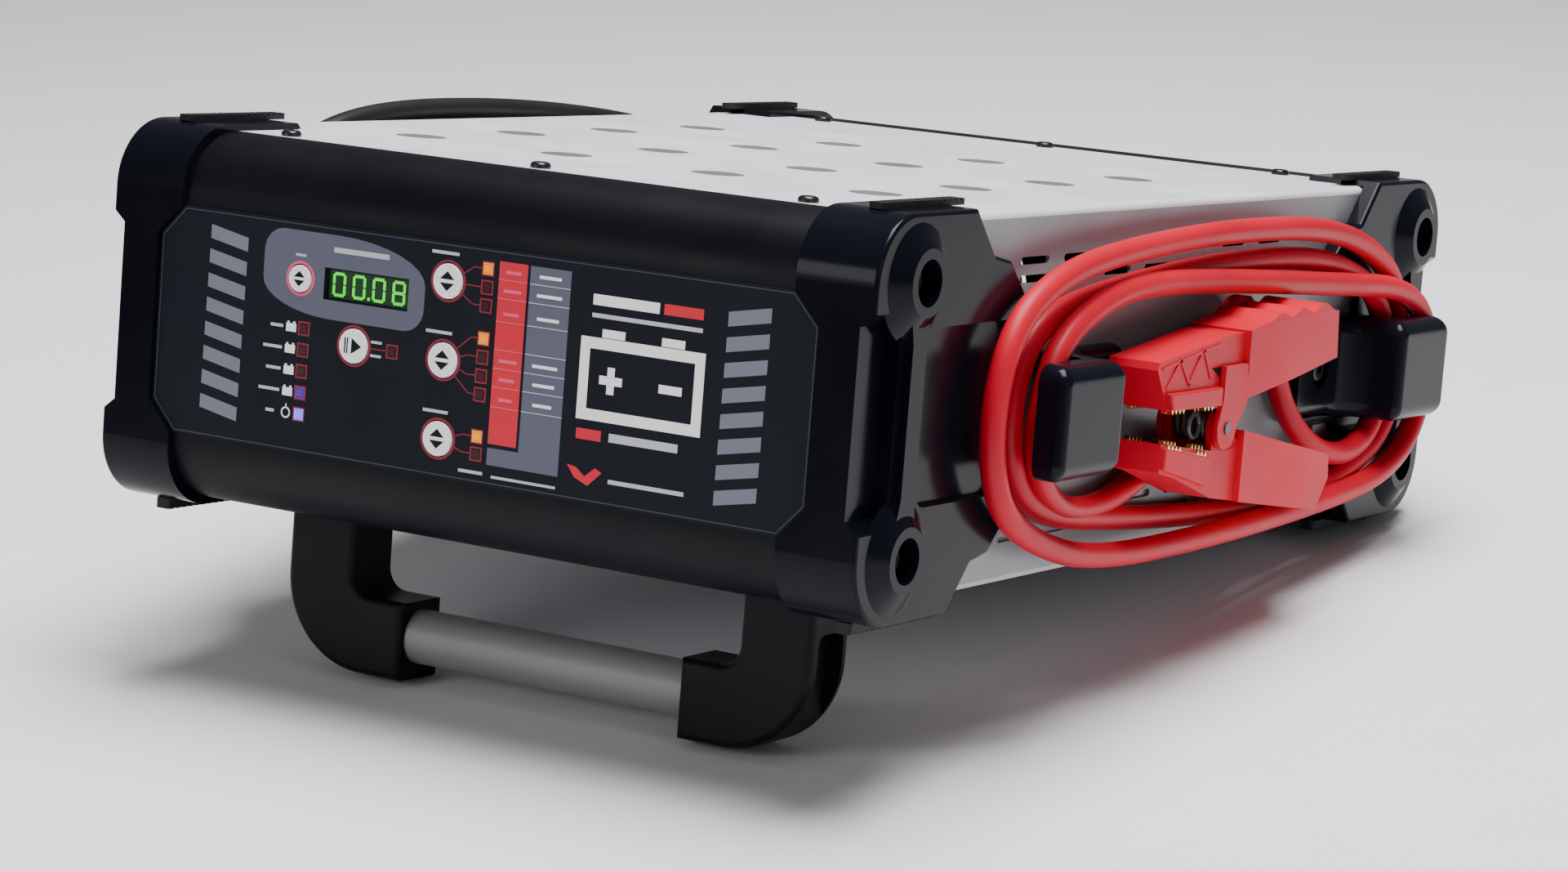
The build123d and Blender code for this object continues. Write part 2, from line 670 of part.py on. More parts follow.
def hook(arm_y, outward):
    """Right-hand hook: flange on the wall, arm straight out, lip turned away from the middle."""
    wall = BODY_HALF_W + SEAM
    z = (HOOK_Z0, HOOK_Z1)
    flange_y = arm_y - outward * FLANGE_LEN
    arm_back = arm_y + outward * ARM_T
    lip_end = arm_y + outward * LIP_LEN
    outline = [
        (wall, flange_y),
        (wall, arm_back),
        (HOOK_FACE - LIP_T, arm_back),
        (HOOK_FACE - LIP_T, lip_end),
        (HOOK_FACE, lip_end),
        (HOOK_FACE, arm_y),
        (wall + FLANGE_T, arm_y),
        (wall + FLANGE_T, flange_y),
    ]
    shape = prism_z(outline, *z)
    shape = fillet(upright_edges(shape, wall + FLANGE_T, arm_y), 16.0)
    shape = fillet(upright_edges(shape, HOOK_FACE - LIP_T, arm_back), 6.0)
    shape = fillet(upright_edges(shape, HOOK_FACE), 4.0)
    tip = shape.edges().filter_by(Axis.X).filter_by_position(Axis.Y, lip_end - 0.1, lip_end + 0.1)
    shape = fillet(tip, 7.0)
    screw_y = arm_y - outward * 26.0
    mid_z = (HOOK_Z0 + HOOK_Z1) / 2
    shape -= rod_x(screw_y, mid_z, 8.0, wall + FLANGE_T - 4.0, wall + FLANGE_T + 5)
    return shape - rod_x(screw_y, mid_z, 3.05, wall - 1, wall + FLANGE_T)


def hook_screws():
    seat = BODY_HALF_W + SEAM + FLANGE_T - 4.0
    mid_z = (HOOK_Z0 + HOOK_Z1) / 2
    screws = []
    for y in HOOK_SCREW_Y:
        head = rod_x(y, mid_z, 5.2, seat, seat + 3.2)
        head = fillet(head.faces().sort_by(Axis.X)[-1].edges(), 1.4)
        head -= rod_x(y, mid_z, 2.1, seat + 1.6, seat + 4)
        screw = head + rod_x(y, mid_z, 3.0, seat - 12, seat + 0.5)
        screws += [screw, other_side(screw)]
    return group(screws)


def case_screws():
    screws = []
    for x in (-COVER_SCREW_X, 0, COVER_SCREW_X):
        for y in (FRONT_SCREW_Y, REAR_SCREW_Y):
            screws.append(button_screw(x, y, BODY_HALF_H, 4.0, 2.4, 2.0, 6.5))
    back = BODY_LEN
    for x in (FAN_X - 35.75, FAN_X + 35.75):
        for z in (FAN_Z - 35.75, FAN_Z + 35.75):
            head = rod_y(x, z, 3.8, back, back + 2.2)
            head = fillet(head.faces().sort_by(Axis.Y)[-1].edges(), 1.0)
            screws.append(head + rod_y(x, z, 2.1, back - 12, back + 0.5))
    return group(screws)


# ---- battery leads ----
COIL_Y = (66.0, 491.0)
COIL_BOTTOM = -79.0
COIL_TOP = {"red": 69.0, "black": 80.0}
COIL_HOLE_Y = (106.0, 436.0)
COIL_HOLE_Z = (-59.0, 33.0)
COIL_X = (BODY_HALF_W + 0.8, HOOK_FACE - LIP_T - 0.3)


def lead_coil(top):
    """Outer shape of the turns wound round the two right hooks, over the guards' side plates."""
    shape = fillet(block(COIL_X, COIL_Y, (COIL_BOTTOM, top)).edges().filter_by(Axis.X), 62.0)
    hole = block((150, 210), COIL_HOLE_Y, COIL_HOLE_Z)
    shape -= fillet(hole.edges().filter_by(Axis.X), 34.0)
    clear_x = GUARD_X + 3.4
    shape -= block((150, clear_x), (0, 119), (-90, 90))
    shape -= block((150, clear_x), (BODY_LEN - 119, 520), (-90, 90))
    for z in (-BOSS_Z, BOSS_Z):
        shape -= rod_x(BODY_LEN - BOSS_Y, z, BOSS_BASE_R + 0.5, 150, BOSS_X + 0.5)
    return shape


def cord_radii(points):
    """Bend radius at each inner point: 0.45 of the shorter run over the tangent of half the turn."""
    radii = []
    for before, here, after in zip(points, points[1:], points[2:]):
        run_in = Vector(*here) - Vector(*before)
        run_out = Vector(*after) - Vector(*here)
        half_turn = math.radians(run_in.get_angle(run_out)) / 2
        radii.append(0.45 * min(run_in.length, run_out.length) / math.tan(half_turn))
    return radii


def cord_tube(name, points):
    """Round lead along straight runs joined by tangent arcs."""
    radii = cord_radii(points)
    path = FilletPolyline(*points, radius=radii)
    first = Vector(*points[1]) - Vector(*points[0])
    section = Plane(origin=points[0], z_dir=first) * Circle(LEAD_D / 2)
    tube = sweep(section, path=path)
    expected = math.pi * (LEAD_D / 2) ** 2 * path.length
    print(name, "length", round(path.length, 1), "radii", [round(r, 1) for r in radii],
          "volume ratio", round(tube.volume / expected, 4))
    return tube


OUTLET_Y = (264.0, 296.0)
OUTLET_Z = -28.0
OUTLET_X = BODY_HALF_W + 5.8
OUTLET_ROUTE = [
    (OUTLET_X, OUTLET_Y[0] + 1, OUTLET_Z),
    (OUTLET_X, 243.0, OUTLET_Z),
    (OUTLET_X + 0.1, 219.0, -38.0),
    (OUTLET_X + 0.4, 192.0, -44.5),
    (OUTLET_X + 1.4, 166.0, -45.5),
    (OUTLET_X + 3.8, 143.0, -40.5),
    (OUTLET_X + 6.8, 122.5, -30.0),
    (OUTLET_X + 9.1, 108.0, -12.5),
]
SLEEVE_X = 171.4
SLEEVE_SLOPE = 31.0
CLAMP_ROUTE = [
    (SLEEVE_X, 317.0, 14.6),
    (SLEEVE_X, 341.0, 0.2),
    (SLEEVE_X + 1.2, 352.0, -18.4),
    (SLEEVE_X + 6.2, 366.5, -34.0),
    (SLEEVE_X + 9.0, 392.0, -41.5),
    (SLEEVE_X + 9.6, 419.0, -56.0),
]


def outlet_boot():
    """Low hood on the wall; the lead leaves it towards the front."""
    x = (BODY_HALF_W + 0.1, BODY_HALF_W + 11.4)
    shape = block(x, OUTLET_Y, (OUTLET_Z - 9, OUTLET_Z + 9))
    outer = shape.edges().filter_by(Axis.Y).group_by(Axis.X)[-1]
    shape = fillet(outer, 6.0)
    back = shape.edges().filter_by(Axis.Z).group_by(Axis.Y)[-1].sort_by(Axis.X)[-1]
    shape = fillet(back, 6.0)
    return shape - rod_y(OUTLET_X, OUTLET_Z, LEAD_D / 2, OUTLET_Y[0] - 1, OUTLET_Y[0] + 1)


# ---- battery clamps ----
# Clamp shapes are drawn about the jaw pivot: y towards the grips, z towards the fixed upper half.
CLAMP_PIN_R = 2.5
JAW_WALL = 1.8
GRIP_WALL = 2.2
JAW_PLATE_LEN = 38.0
JAW_PLATE_Y = -9.5
UPPER_JAW = [(-50, 10.2), (-61, 26.5), (-60, 29.5), (4, 37), (18, 37), (18, 8), (8, 8.2)]
UPPER_GRIP = [(16, 10.7), (15.5, 38), (30, 40.5), (90, 43), (99, 42), (101.5, 22.3), (60, 16.1)]
LOWER_JAW = [(-52.5, -2.8), (-52.5, -14), (-39, -17), (-4, -28), (19, -31), (19, -8), (8, -9.6),
             (-8, -8.6)]
LOWER_GRIP = [(17, -2), (42, -7), (102, -18.4), (103.5, -28.4), (93, -41.1), (57, -36.4), (17, -31)]
CHEEK = [(-8.5, 0), (-5, 12), (-5, 25), (14.5, 25), (17, 12), (17, 9), (8.5, 0)]
UPPER_EDGE_SLOPE = -2.0
LOWER_EDGE_SLOPE = -7.4


def at_clamp(shape):
    return Pos(CLAMP_X, CLAMP_Y, CLAMP_Z) * shape


def clamp_upper():
    """Fixed half: upper jaw, upper grip, outer pivot cheeks and the sleeve that takes the lead."""
    half = HANDLE_HALF_W
    jaw = prism_x(UPPER_JAW, -JAW_HALF_W, JAW_HALF_W)
    shape = jaw + prism_x(UPPER_GRIP, -half, half)
    hollow = [(19, 0), (19, 34), (30, 37.5), (90, 40), (97, 39), (98, 10)]
    shape -= prism_x(hollow, GRIP_WALL - half, half - GRIP_WALL)
    shape -= block((JAW_WALL - JAW_HALF_W, JAW_HALF_W - JAW_WALL), (-48, 20), (0, 13.6))
    for side in (-1, 1):
        x = sorted((side * (half - 2.3), side * half))
        shape += rod_x(0, 0, 8.5, *x)
        shape += prism_x(CHEEK, *x)
    shape -= rod_x(0, 0, CLAMP_PIN_R, -20, 20)
    return shape + lead_sleeve()


def lead_sleeve():
    """Moulded sleeve on the grip's wall side, its mouth facing down and back."""
    mouth = Vector(*CLAMP_ROUTE[0]) - Vector(CLAMP_X, CLAMP_Y, CLAMP_Z)
    reach = 24.0
    body = Pos(0, -reach / 2, 0) * Box(11.4, reach, 13.0)
    body = fillet(body.edges().filter_by(Axis.Y).group_by(Axis.X)[0], 5.0)
    return Pos(mouth.X + 0.4, mouth.Y, mouth.Z) * Rot(-SLEEVE_SLOPE, 0, 0) * body


def clamp_lower():
    """Moving half: lower jaw, lower grip and the inner pair of pivot cheeks."""
    half = HANDLE_HALF_W
    jaw = prism_x(LOWER_JAW, -JAW_HALF_W, JAW_HALF_W)
    shape = jaw + prism_x(LOWER_GRIP, -half, half)
    hollow = [(21, 5), (100, 5), (100, -27), (91.5, -38.5), (57, -34), (21, -29)]
    shape -= prism_x(hollow, GRIP_WALL - half, half - GRIP_WALL)
    inner_edge = [(-48, 3), (20, 3), (20, -14), (-8, -12.6), (-48, -7.2)]
    shape -= prism_x(inner_edge, JAW_WALL - JAW_HALF_W, JAW_HALF_W - JAW_WALL)
    for side in (-1, 1):
        x = sorted((side * (half - 5.6), side * (half - 3.0)))
        shape += rod_x(0, 0, 7.5, *x)
        shape += prism_x([(-7.5, 0), (-6, -13), (21, -13), (21, -9), (7.5, 0)], *x)
    return shape - rod_x(0, 0, CLAMP_PIN_R + 0.05, -20, 20)


def jaw_plate():
    """Brass contact plate: two rows of teeth either side of a gap for the battery post."""
    half = JAW_HALF_W - JAW_WALL - 0.3
    shape = block((-half, half), (-JAW_PLATE_LEN, 0), (0, 1.6))
    pitch = JAW_PLATE_LEN / 12
    for i in (0, 1, 2, 3, 8, 9, 10, 11):
        y = -JAW_PLATE_LEN + i * pitch
        tooth = [(y, 0.2), (y + pitch / 2, -3.4), (y + pitch, 0.2)]
        shape += prism_x(tooth, -half, -half + 2.4)
        shape += prism_x(tooth, half - 2.4, half)
    return shape


def upper_plate():
    return Pos(0, JAW_PLATE_Y, 10.5) * Rot(UPPER_EDGE_SLOPE, 0, 0) * jaw_plate()


def lower_plate():
    return Pos(0, JAW_PLATE_Y, -10.1) * Rot(LOWER_EDGE_SLOPE, 0, 0) * upside_down(jaw_plate())


def clamp_spring():
    """Torsion spring round the pivot pin, as a plain sleeve."""
    half = HANDLE_HALF_W - 6.2
    return rod_x(0, 0, 6.2, -half, half) - rod_x(0, 0, 3.4, -20, 20)


def clamp_pin():
    end = HANDLE_HALF_W + 0.6
    return rod_x(0, 0, CLAMP_PIN_R, -end, end)


# ---- the whole charger ----
def parts_in_body_frame():
    """Every node in the body frame, by name."""
    parts = {
        "front_frame": front_frame(),
        "overlay_panel": overlay_panel(),
        "display_window": display_window(),
        "display_module": display_module(),
        "led_lenses": led_lenses(),
        "control_board": control_board(),
        "top_cover": top_cover(),
        "bottom_tray": bottom_tray(),
        "rear_frame": rear_frame(),
        "case_screws": case_screws(),
        "guard_bolts": guard_bolts(),
        "top_rails": rails(RAIL_H, 1),
        "feet": rails(FOOT_H, -1),
        "hook_screws": hook_screws(),
        "handle_tube": handle_tube(),
        "power_board": power_board(),
        "transformer": transformer(),
        "heatsink": heatsink(),
        "capacitors": capacitors(),
        "fan_frame": fan_frame(),
        "fan_rotor": fan_rotor(),
        "mains_inlet": mains_inlet(),
        "fuse_holder": fuse_holder(),
        "switch_housing": switch_housing(),
        "power_rocker": power_rocker(),
    }
    for name, (x, z, radius) in KEYS.items():
        parts[name] = key(x, z, radius)
    front_guard = guard(rear=False)
    rear_guard = other_end(guard(rear=True))
    parts["guard_front_right"] = front_guard
    parts["guard_front_left"] = other_side(front_guard)
    parts["guard_rear_right"] = rear_guard
    parts["guard_rear_left"] = other_side(rear_guard)
    front_hook = hook(FRONT_ARM_Y, -1)
    rear_hook = hook(REAR_ARM_Y, 1)
    parts["hook_front_right"] = front_hook
    parts["hook_front_left"] = other_side(front_hook)
    parts["hook_rear_right"] = rear_hook
    parts["hook_rear_left"] = other_side(rear_hook)
    arm = handle_arm()
    parts["handle_arm_right"] = arm
    parts["handle_arm_left"] = other_side(arm)
    bracket = handle_bracket()
    parts["handle_brackets"] = group([bracket, other_side(bracket)])
    pin = handle_pin()
    parts["handle_pins"] = group([pin, other_side(pin)])
    lead_parts = {
        "lead_outlet": outlet_boot(),
        "lead_from_outlet": cord_tube("lead_from_outlet", OUTLET_ROUTE),
        "lead_to_clamp": cord_tube("lead_to_clamp", CLAMP_ROUTE),
        "clamp_upper": at_clamp(clamp_upper()),
        "clamp_lower": at_clamp(clamp_lower()),
        "clamp_lower_teeth": at_clamp(lower_plate()),
    }
    for name, shape in lead_parts.items():
        parts["red_" + name] = shape
        parts["black_" + name] = other_side(shape)
    parts["red_lead_coil"] = lead_coil(COIL_TOP["red"])
    parts["black_lead_coil"] = other_side(lead_coil(COIL_TOP["black"]))
    shared = {
        "clamp_upper_teeth": at_clamp(upper_plate()),
        "clamp_springs": at_clamp(clamp_spring()),
        "clamp_pins": at_clamp(clamp_pin()),
    }
    for name, shape in shared.items():
        parts[name] = group([shape, other_side(shape)])
    return parts


CORD_NAMES = ("lead_coil", "lead_from_outlet", "lead_to_clamp", "clamp")


def is_on_cord(name):
    return any(word in name for word in CORD_NAMES)


def stand_tilt():
    """How far the case leans back when it stands on the handle's elbows and the rear feet."""
    elbow_round = 3.0
    back = BODY_LEN - RAIL_Y0 - (PIVOT_Y + ARM_HALF_D - elbow_round)
    drop = (GUARD_HALF_H + FOOT_H) - (-ELBOW_LOW - elbow_round)
    slope = math.atan2(-drop, back)
    return math.degrees(slope + math.asin(elbow_round / math.hypot(back, drop)))


TILT = stand_tilt()


def standing(parts):
    """The placement that tips the case back and brings it to the origin."""
    tip = Rot(-TILT, 0, 0)
    body = [tip * shape for name, shape in parts.items() if not is_on_cord(name)]
    box = Compound(children=body).bounding_box()
    return Pos(0, -(box.min.Y + box.max.Y) / 2, -box.min.Z) * tip


def main():
    os.makedirs("parts", exist_ok=True)
    parts = parts_in_body_frame()
    place = standing(parts)
    for name, shape in parts.items():
        export_step(place * shape, "parts/" + name + ".step")
    print("tilt", round(TILT, 3), "nodes", len(parts))


main()
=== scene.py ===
# The looks of a portable workshop battery charger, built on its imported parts.
#
# Pieces are drawn in the charger's own frame, in millimetres: x across, y back from the front
# panel's face, z up from mid-height. at() turns such a point into the shared frame, in metres.

import json
import math

import bmesh
import bpy
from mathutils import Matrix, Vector
from mathutils.geometry import tessellate_polygon


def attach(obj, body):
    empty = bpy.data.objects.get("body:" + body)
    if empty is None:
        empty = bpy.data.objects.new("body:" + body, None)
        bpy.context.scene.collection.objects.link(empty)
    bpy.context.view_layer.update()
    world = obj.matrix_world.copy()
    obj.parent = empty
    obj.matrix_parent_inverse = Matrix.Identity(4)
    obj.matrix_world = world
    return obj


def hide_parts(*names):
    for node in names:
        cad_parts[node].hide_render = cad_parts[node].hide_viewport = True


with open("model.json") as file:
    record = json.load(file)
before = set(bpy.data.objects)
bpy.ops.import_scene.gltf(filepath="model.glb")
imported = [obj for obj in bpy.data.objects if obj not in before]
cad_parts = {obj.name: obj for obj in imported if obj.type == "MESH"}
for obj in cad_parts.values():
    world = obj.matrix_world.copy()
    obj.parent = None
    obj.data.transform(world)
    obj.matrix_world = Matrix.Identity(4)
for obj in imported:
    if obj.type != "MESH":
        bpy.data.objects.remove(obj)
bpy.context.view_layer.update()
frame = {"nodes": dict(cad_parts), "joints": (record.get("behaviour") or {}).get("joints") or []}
nodes = frame["nodes"]

MM = 0.001
START_KEY_X = -54.0
press = next(j for j in frame["joints"] if j["name"] == "key_start_press")
BACK = Vector(press["axis"]).normalized()
UP = Vector((1, 0, 0)).cross(BACK)
FRONT_CENTRE = Vector(press["pos_m"]) - Vector((START_KEY_X * MM, 0, 0))


def at(x, y, z):
    return FRONT_CENTRE + Vector((x * MM, 0, 0)) + BACK * (y * MM) + UP * (z * MM)


def from_front(point):
    """A shared-frame point in the charger's own frame, in millimetres."""
    away = (point - FRONT_CENTRE) / MM
    return away.x, away.dot(BACK), away.dot(UP)


# ---- camera ----
CAMERA_PLACE = Vector((0.9282, -1.5352, 0.5497))
CAMERA_AIM = Vector((0.0944, -0.1778, 0.1200))
LENS = 100.3
SENSOR_W = 36.0

camera_data = bpy.data.cameras.new("camera")
camera_data.lens = LENS
camera_data.sensor_width = SENSOR_W
camera = bpy.data.objects.new("camera", camera_data)
camera.location = CAMERA_PLACE
camera.rotation_euler = (CAMERA_AIM - CAMERA_PLACE).to_track_quat("-Z", "Y").to_euler()
bpy.context.scene.collection.objects.link(camera)
bpy.context.scene.camera = camera


# ---- materials ----
# Noise fields run from 0 to 1 but seldom leave the middle, so each is spread from a band there.
COLOUR_BAND = (0.35, 0.65)
WEAR_BAND = (0.3, 0.7)


def surface(name, colour, roughness, metallic=0.0, mottle=0.06, mottle_scale=11.0,
            smudge=0.06, smudge_scale=23.0, grain=0.1, grain_scale=1400.0, grain_depth=0.05,
            shine=0.5, glow=0.0, alpha=1.0):
    """A finish with a little broad colour change, uneven roughness and a fine relief.

    Scales are in cycles per metre and grain_depth is in millimetres."""
    made = bpy.data.materials.new(name)
    made.use_nodes = True
    tree = made.node_tree
    tree.nodes.clear()
    output = tree.nodes.new("ShaderNodeOutputMaterial")
    shader = tree.nodes.new("ShaderNodeBsdfPrincipled")
    tree.links.new(shader.outputs["BSDF"], output.inputs["Surface"])
    place = tree.nodes.new("ShaderNodeTexCoord").outputs["Object"]

    broad = noise(tree, place, mottle_scale, detail=3.0)
    ramp = tree.nodes.new("ShaderNodeValToRGB")
    ramp.color_ramp.elements[0].position = COLOUR_BAND[0]
    ramp.color_ramp.elements[1].position = COLOUR_BAND[1]
    ramp.color_ramp.elements[0].color = [c * (1 - mottle) for c in colour] + [1.0]
    ramp.color_ramp.elements[1].color = [min(1.0, c * (1 + mottle)) for c in colour] + [1.0]
    tree.links.new(broad, ramp.inputs["Fac"])
    tree.links.new(ramp.outputs["Color"], shader.inputs["Base Color"])

    handled = noise(tree, place, smudge_scale, detail=5.0)
    spread = tree.nodes.new("ShaderNodeMapRange")
    spread.inputs["From Min"].default_value = WEAR_BAND[0]
    spread.inputs["From Max"].default_value = WEAR_BAND[1]
    spread.inputs["To Min"].default_value = max(0.02, roughness - smudge)
    spread.inputs["To Max"].default_value = min(1.0, roughness + smudge)
    tree.links.new(handled, spread.inputs["Value"])
    tree.links.new(spread.outputs["Result"], shader.inputs["Roughness"])

    fine = noise(tree, place, grain_scale, detail=2.0)
    bump = tree.nodes.new("ShaderNodeBump")
    bump.inputs["Strength"].default_value = grain
    bump.inputs["Distance"].default_value = grain_depth * MM
    tree.links.new(fine, bump.inputs["Height"])
    tree.links.new(bump.outputs["Normal"], shader.inputs["Normal"])

    shader.inputs["Metallic"].default_value = metallic
    shader.inputs["Specular IOR Level"].default_value = shine
    if glow:
        shader.inputs["Emission Color"].default_value = list(colour) + [1.0]
        shader.inputs["Emission Strength"].default_value = glow
    shader.inputs["Alpha"].default_value = alpha
    return made


def noise(tree, place, scale, detail):
    made = tree.nodes.new("ShaderNodeTexNoise")
    made.inputs["Scale"].default_value = scale
    made.inputs["Detail"].default_value = detail
    tree.links.new(place, made.inputs["Vector"])
    return made.outputs["Fac"]


def paint(material, *names):
    """Gives CAD nodes this material all over."""
    for name in names:
        mesh = nodes[name].data
        mesh.materials.clear()
        mesh.materials.append(material)


case_black = surface("case_black", (0.0025, 0.003, 0.005), 0.42, grain=0.35, grain_depth=0.09,
                     shine=0.12)
panel_navy = surface("panel_navy", (0.004, 0.0055, 0.011), 0.45, mottle=0.03, grain=0.12, shine=0.14)
cover_grey = surface("cover_grey", (0.70, 0.71, 0.74), 0.34, mottle=0.03, grain=0.18, grain_depth=0.07,
                     grain_scale=900.0)
# A darker copy of the cover's grey, painted shade for its side walls.
side_wall_shade = surface("side_wall_shade", (0.23, 0.24, 0.26), 0.36, mottle=0.04, grain=0.18, grain_depth=0.07,
                    grain_scale=900.0)
# Darker grey in the cover's dimples, painted shade.
dimple_shade = surface("dimple_shade", (0.13, 0.135, 0.15), 0.40, mottle=0.08, smudge=0.10)
tray_grey = surface("tray_grey", (0.40, 0.41, 0.43), 0.42, metallic=0.3)
screw_black = surface("screw_black", (0.014, 0.014, 0.016), 0.30, metallic=0.3, smudge=0.10)
rubber_black = surface("rubber_black", (0.010, 0.010, 0.011), 0.62, grain=0.5, grain_scale=2200.0,
                       shine=0.30)
tube_grey = surface("tube_grey", (0.27, 0.27, 0.26), 0.50, metallic=0.25, mottle=0.05, smudge=0.05)
plain_steel = surface("plain_steel", (0.55, 0.55, 0.57), 0.30, metallic=1.0, smudge=0.10)
wire_grey = surface("wire_grey", (0.09, 0.095, 0.11), 0.36, metallic=0.5, smudge=0.10)
dark_steel = surface("dark_steel", (0.10, 0.10, 0.11), 0.36, metallic=0.9, smudge=0.10)
ferrite = surface("ferrite", (0.06, 0.06, 0.065), 0.55, grain=0.3)
aluminium = surface("aluminium", (0.62, 0.63, 0.65), 0.35, metallic=1.0)
board_green = surface("board_green", (0.02, 0.14, 0.06), 0.40)
sleeve_blue = surface("sleeve_blue", (0.03, 0.035, 0.10), 0.35)
fitting_black = surface("fitting_black", (0.012, 0.012, 0.014), 0.42, grain=0.3, shine=0.35)
guard_black = surface("guard_black", (0.004, 0.0045, 0.008), 0.16, mottle=0.15, smudge=0.04,
                      grain=0.08, shine=0.11)
hook_black = surface("hook_black", (0.004, 0.0045, 0.009), 0.20, mottle=0.15, smudge=0.05,
                     grain=0.08, shine=0.11)
handle_black = surface("handle_black", (0.003, 0.0035, 0.006), 0.50, grain=0.40, grain_scale=1100.0,
                       grain_depth=0.10, shine=0.16)
brass = surface("brass", (0.86, 0.62, 0.24), 0.26, metallic=1.0, mottle=0.14, smudge=0.12)
key_white = surface("key_white", (0.93, 0.92, 0.94), 0.45, mottle=0.02, grain=0.05)
red_rubber = surface("red_rubber", (0.52, 0.004, 0.022), 0.42, mottle=0.12, grain=0.25, shine=0.22)
black_rubber = surface("black_rubber", (0.010, 0.010, 0.011), 0.42, grain=0.25, shine=0.35)
red_plastic = surface("red_plastic", (0.60, 0.005, 0.025), 0.38, mottle=0.10, grain=0.18, shine=0.14)
black_plastic = surface("black_plastic", (0.010, 0.010, 0.011), 0.32, grain=0.18, shine=0.40)
shadow_black = surface("shadow_black", (0.004, 0.003, 0.003), 0.70, shine=0.10)
print_dim = surface("print_dim", (0.030, 0.036, 0.056), 0.45, mottle=0.02, shine=0.30)
print_grey = surface("print_grey", (0.10, 0.105, 0.150), 0.45, mottle=0.02, shine=0.30)
print_light = surface("print_light", (0.52, 0.53, 0.60), 0.45, mottle=0.02, shine=0.30)
print_white = surface("print_white", (0.95, 0.95, 0.96), 0.45, mottle=0.01)
print_red = surface("print_red", (0.66, 0.014, 0.035), 0.42, mottle=0.03, shine=0.30)
print_bar = surface("print_bar", (0.17, 0.175, 0.225), 0.45, mottle=0.03, shine=0.30)
print_maroon = surface("print_maroon", (0.26, 0.012, 0.030), 0.45, mottle=0.04, shine=0.30)
print_pink = surface("print_pink", (0.78, 0.10, 0.20), 0.45, mottle=0.03, shine=0.30)
window_clear = surface("window_clear", (0.02, 0.05, 0.03), 0.10, mottle=0.02, grain=0.02, alpha=0.12)
display_dark = surface("display_dark", (0.008, 0.055, 0.014), 0.35)
digit_green = surface("digit_green", (0.06, 1.0, 0.02), 0.40, mottle=0.02, glow=1.1)
led_off = surface("led_off", (0.050, 0.008, 0.014), 0.25, shine=0.40)
led_amber = surface("led_amber", (0.92, 0.30, 0.001), 0.25, glow=0.45)
led_blue = surface("led_blue", (0.16, 0.18, 1.0), 0.25, glow=0.9)
led_purple = surface("led_purple", (0.09, 0.02, 0.30), 0.25, glow=0.3)

paint(case_black, "front_frame", "rear_frame")
paint(panel_navy, "overlay_panel")
paint(window_clear, "display_window")
paint(display_dark, "display_module")
paint(board_green, "control_board", "power_board")
paint(cover_grey, "top_cover")
paint(tray_grey, "bottom_tray")
paint(screw_black, "case_screws", "guard_bolts", "hook_screws")
paint(rubber_black, "top_rails", "feet")
paint(tube_grey, "handle_tube")
paint(plain_steel, "handle_brackets", "handle_pins")
paint(ferrite, "transformer")
paint(aluminium, "heatsink")
paint(sleeve_blue, "capacitors")
paint(fitting_black, "fan_frame", "fan_rotor", "mains_inlet", "fuse_holder", "switch_housing",
      "power_rocker", "red_lead_outlet", "black_lead_outlet")
paint(handle_black, "handle_arm_right", "handle_arm_left")
paint(brass, "clamp_upper_teeth", "red_clamp_lower_teeth", "black_clamp_lower_teeth")
paint(wire_grey, "clamp_springs")
paint(dark_steel, "clamp_pins")
paint(red_plastic, "red_clamp_upper", "red_clamp_lower")
paint(black_plastic, "black_clamp_upper", "black_clamp_lower")
for end in ("front", "rear"):
    for side in ("right", "left"):
        paint(guard_black, f"guard_{end}_{side}")
        paint(hook_black, f"hook_{end}_{side}")
paint(key_white, "key_meter", "key_voltage", "key_current", "key_function", "key_start")


# ---- cover ----
COVER_HALF_W = 165.5
COVER_TOP_Z = 72.7
EDGE_DROP = 6.0          # how far down the top's grey comes at the rounded edges
WALL_DEPTH = 3.0         # a side wall's faces are no further in than this
DIMPLE_MIN_Z = 50.0      # every face of a dimple is above this
DIMPLE_PITCH = 71.0
DIMPLE_Y0 = 107.0
DIMPLE_R = 10.5
DIMPLES_ACROSS = 4
DIMPLES_BACK = 4


def shade_cover():
    """Paints shade on the cover: its side walls a darker grey than its top, and its dimples a darker
    grey still.
    """
    mesh = nodes["top_cover"].data
    mesh.materials.append(dimple_shade)
    mesh.materials.append(side_wall_shade)
    half_row = (DIMPLES_ACROSS - 1) / 2 * DIMPLE_PITCH
    centres = [(i * DIMPLE_PITCH - half_row, DIMPLE_Y0 + j * DIMPLE_PITCH)
               for i in range(DIMPLES_ACROSS) for j in range(DIMPLES_BACK)]
    # Dimples get painted shade, and so do the side walls below the rounded top edges.
    for polygon in mesh.polygons:
        x, y, z = from_front(polygon.center)
        if z > DIMPLE_MIN_Z and any(math.hypot(x - cx, y - cy) < DIMPLE_R for cx, cy in centres):
            polygon.material_index = 1
        elif abs(x) > COVER_HALF_W - WALL_DEPTH and z < COVER_TOP_Z - EDGE_DROP:
            polygon.material_index = 2


shade_cover()


# ---- mesh helpers ----
def mesh_piece(name, vertices, faces, material, body, smooth=False):
    """A mesh of shared-frame points, its faces turned outward, that rides on a body."""
    mesh = bpy.data.meshes.new(name)
    mesh.from_pydata([tuple(v) for v in vertices], [], faces)
    outward = bmesh.new()
    outward.from_mesh(mesh)
    bmesh.ops.recalc_face_normals(outward, faces=outward.faces)
    outward.to_mesh(mesh)
    outward.free()
    mesh.materials.append(material)
    for polygon in mesh.polygons:
        polygon.use_smooth = smooth
    piece = bpy.data.objects.new(name, mesh)
    bpy.context.scene.collection.objects.link(piece)
    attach(piece, body)
    return piece


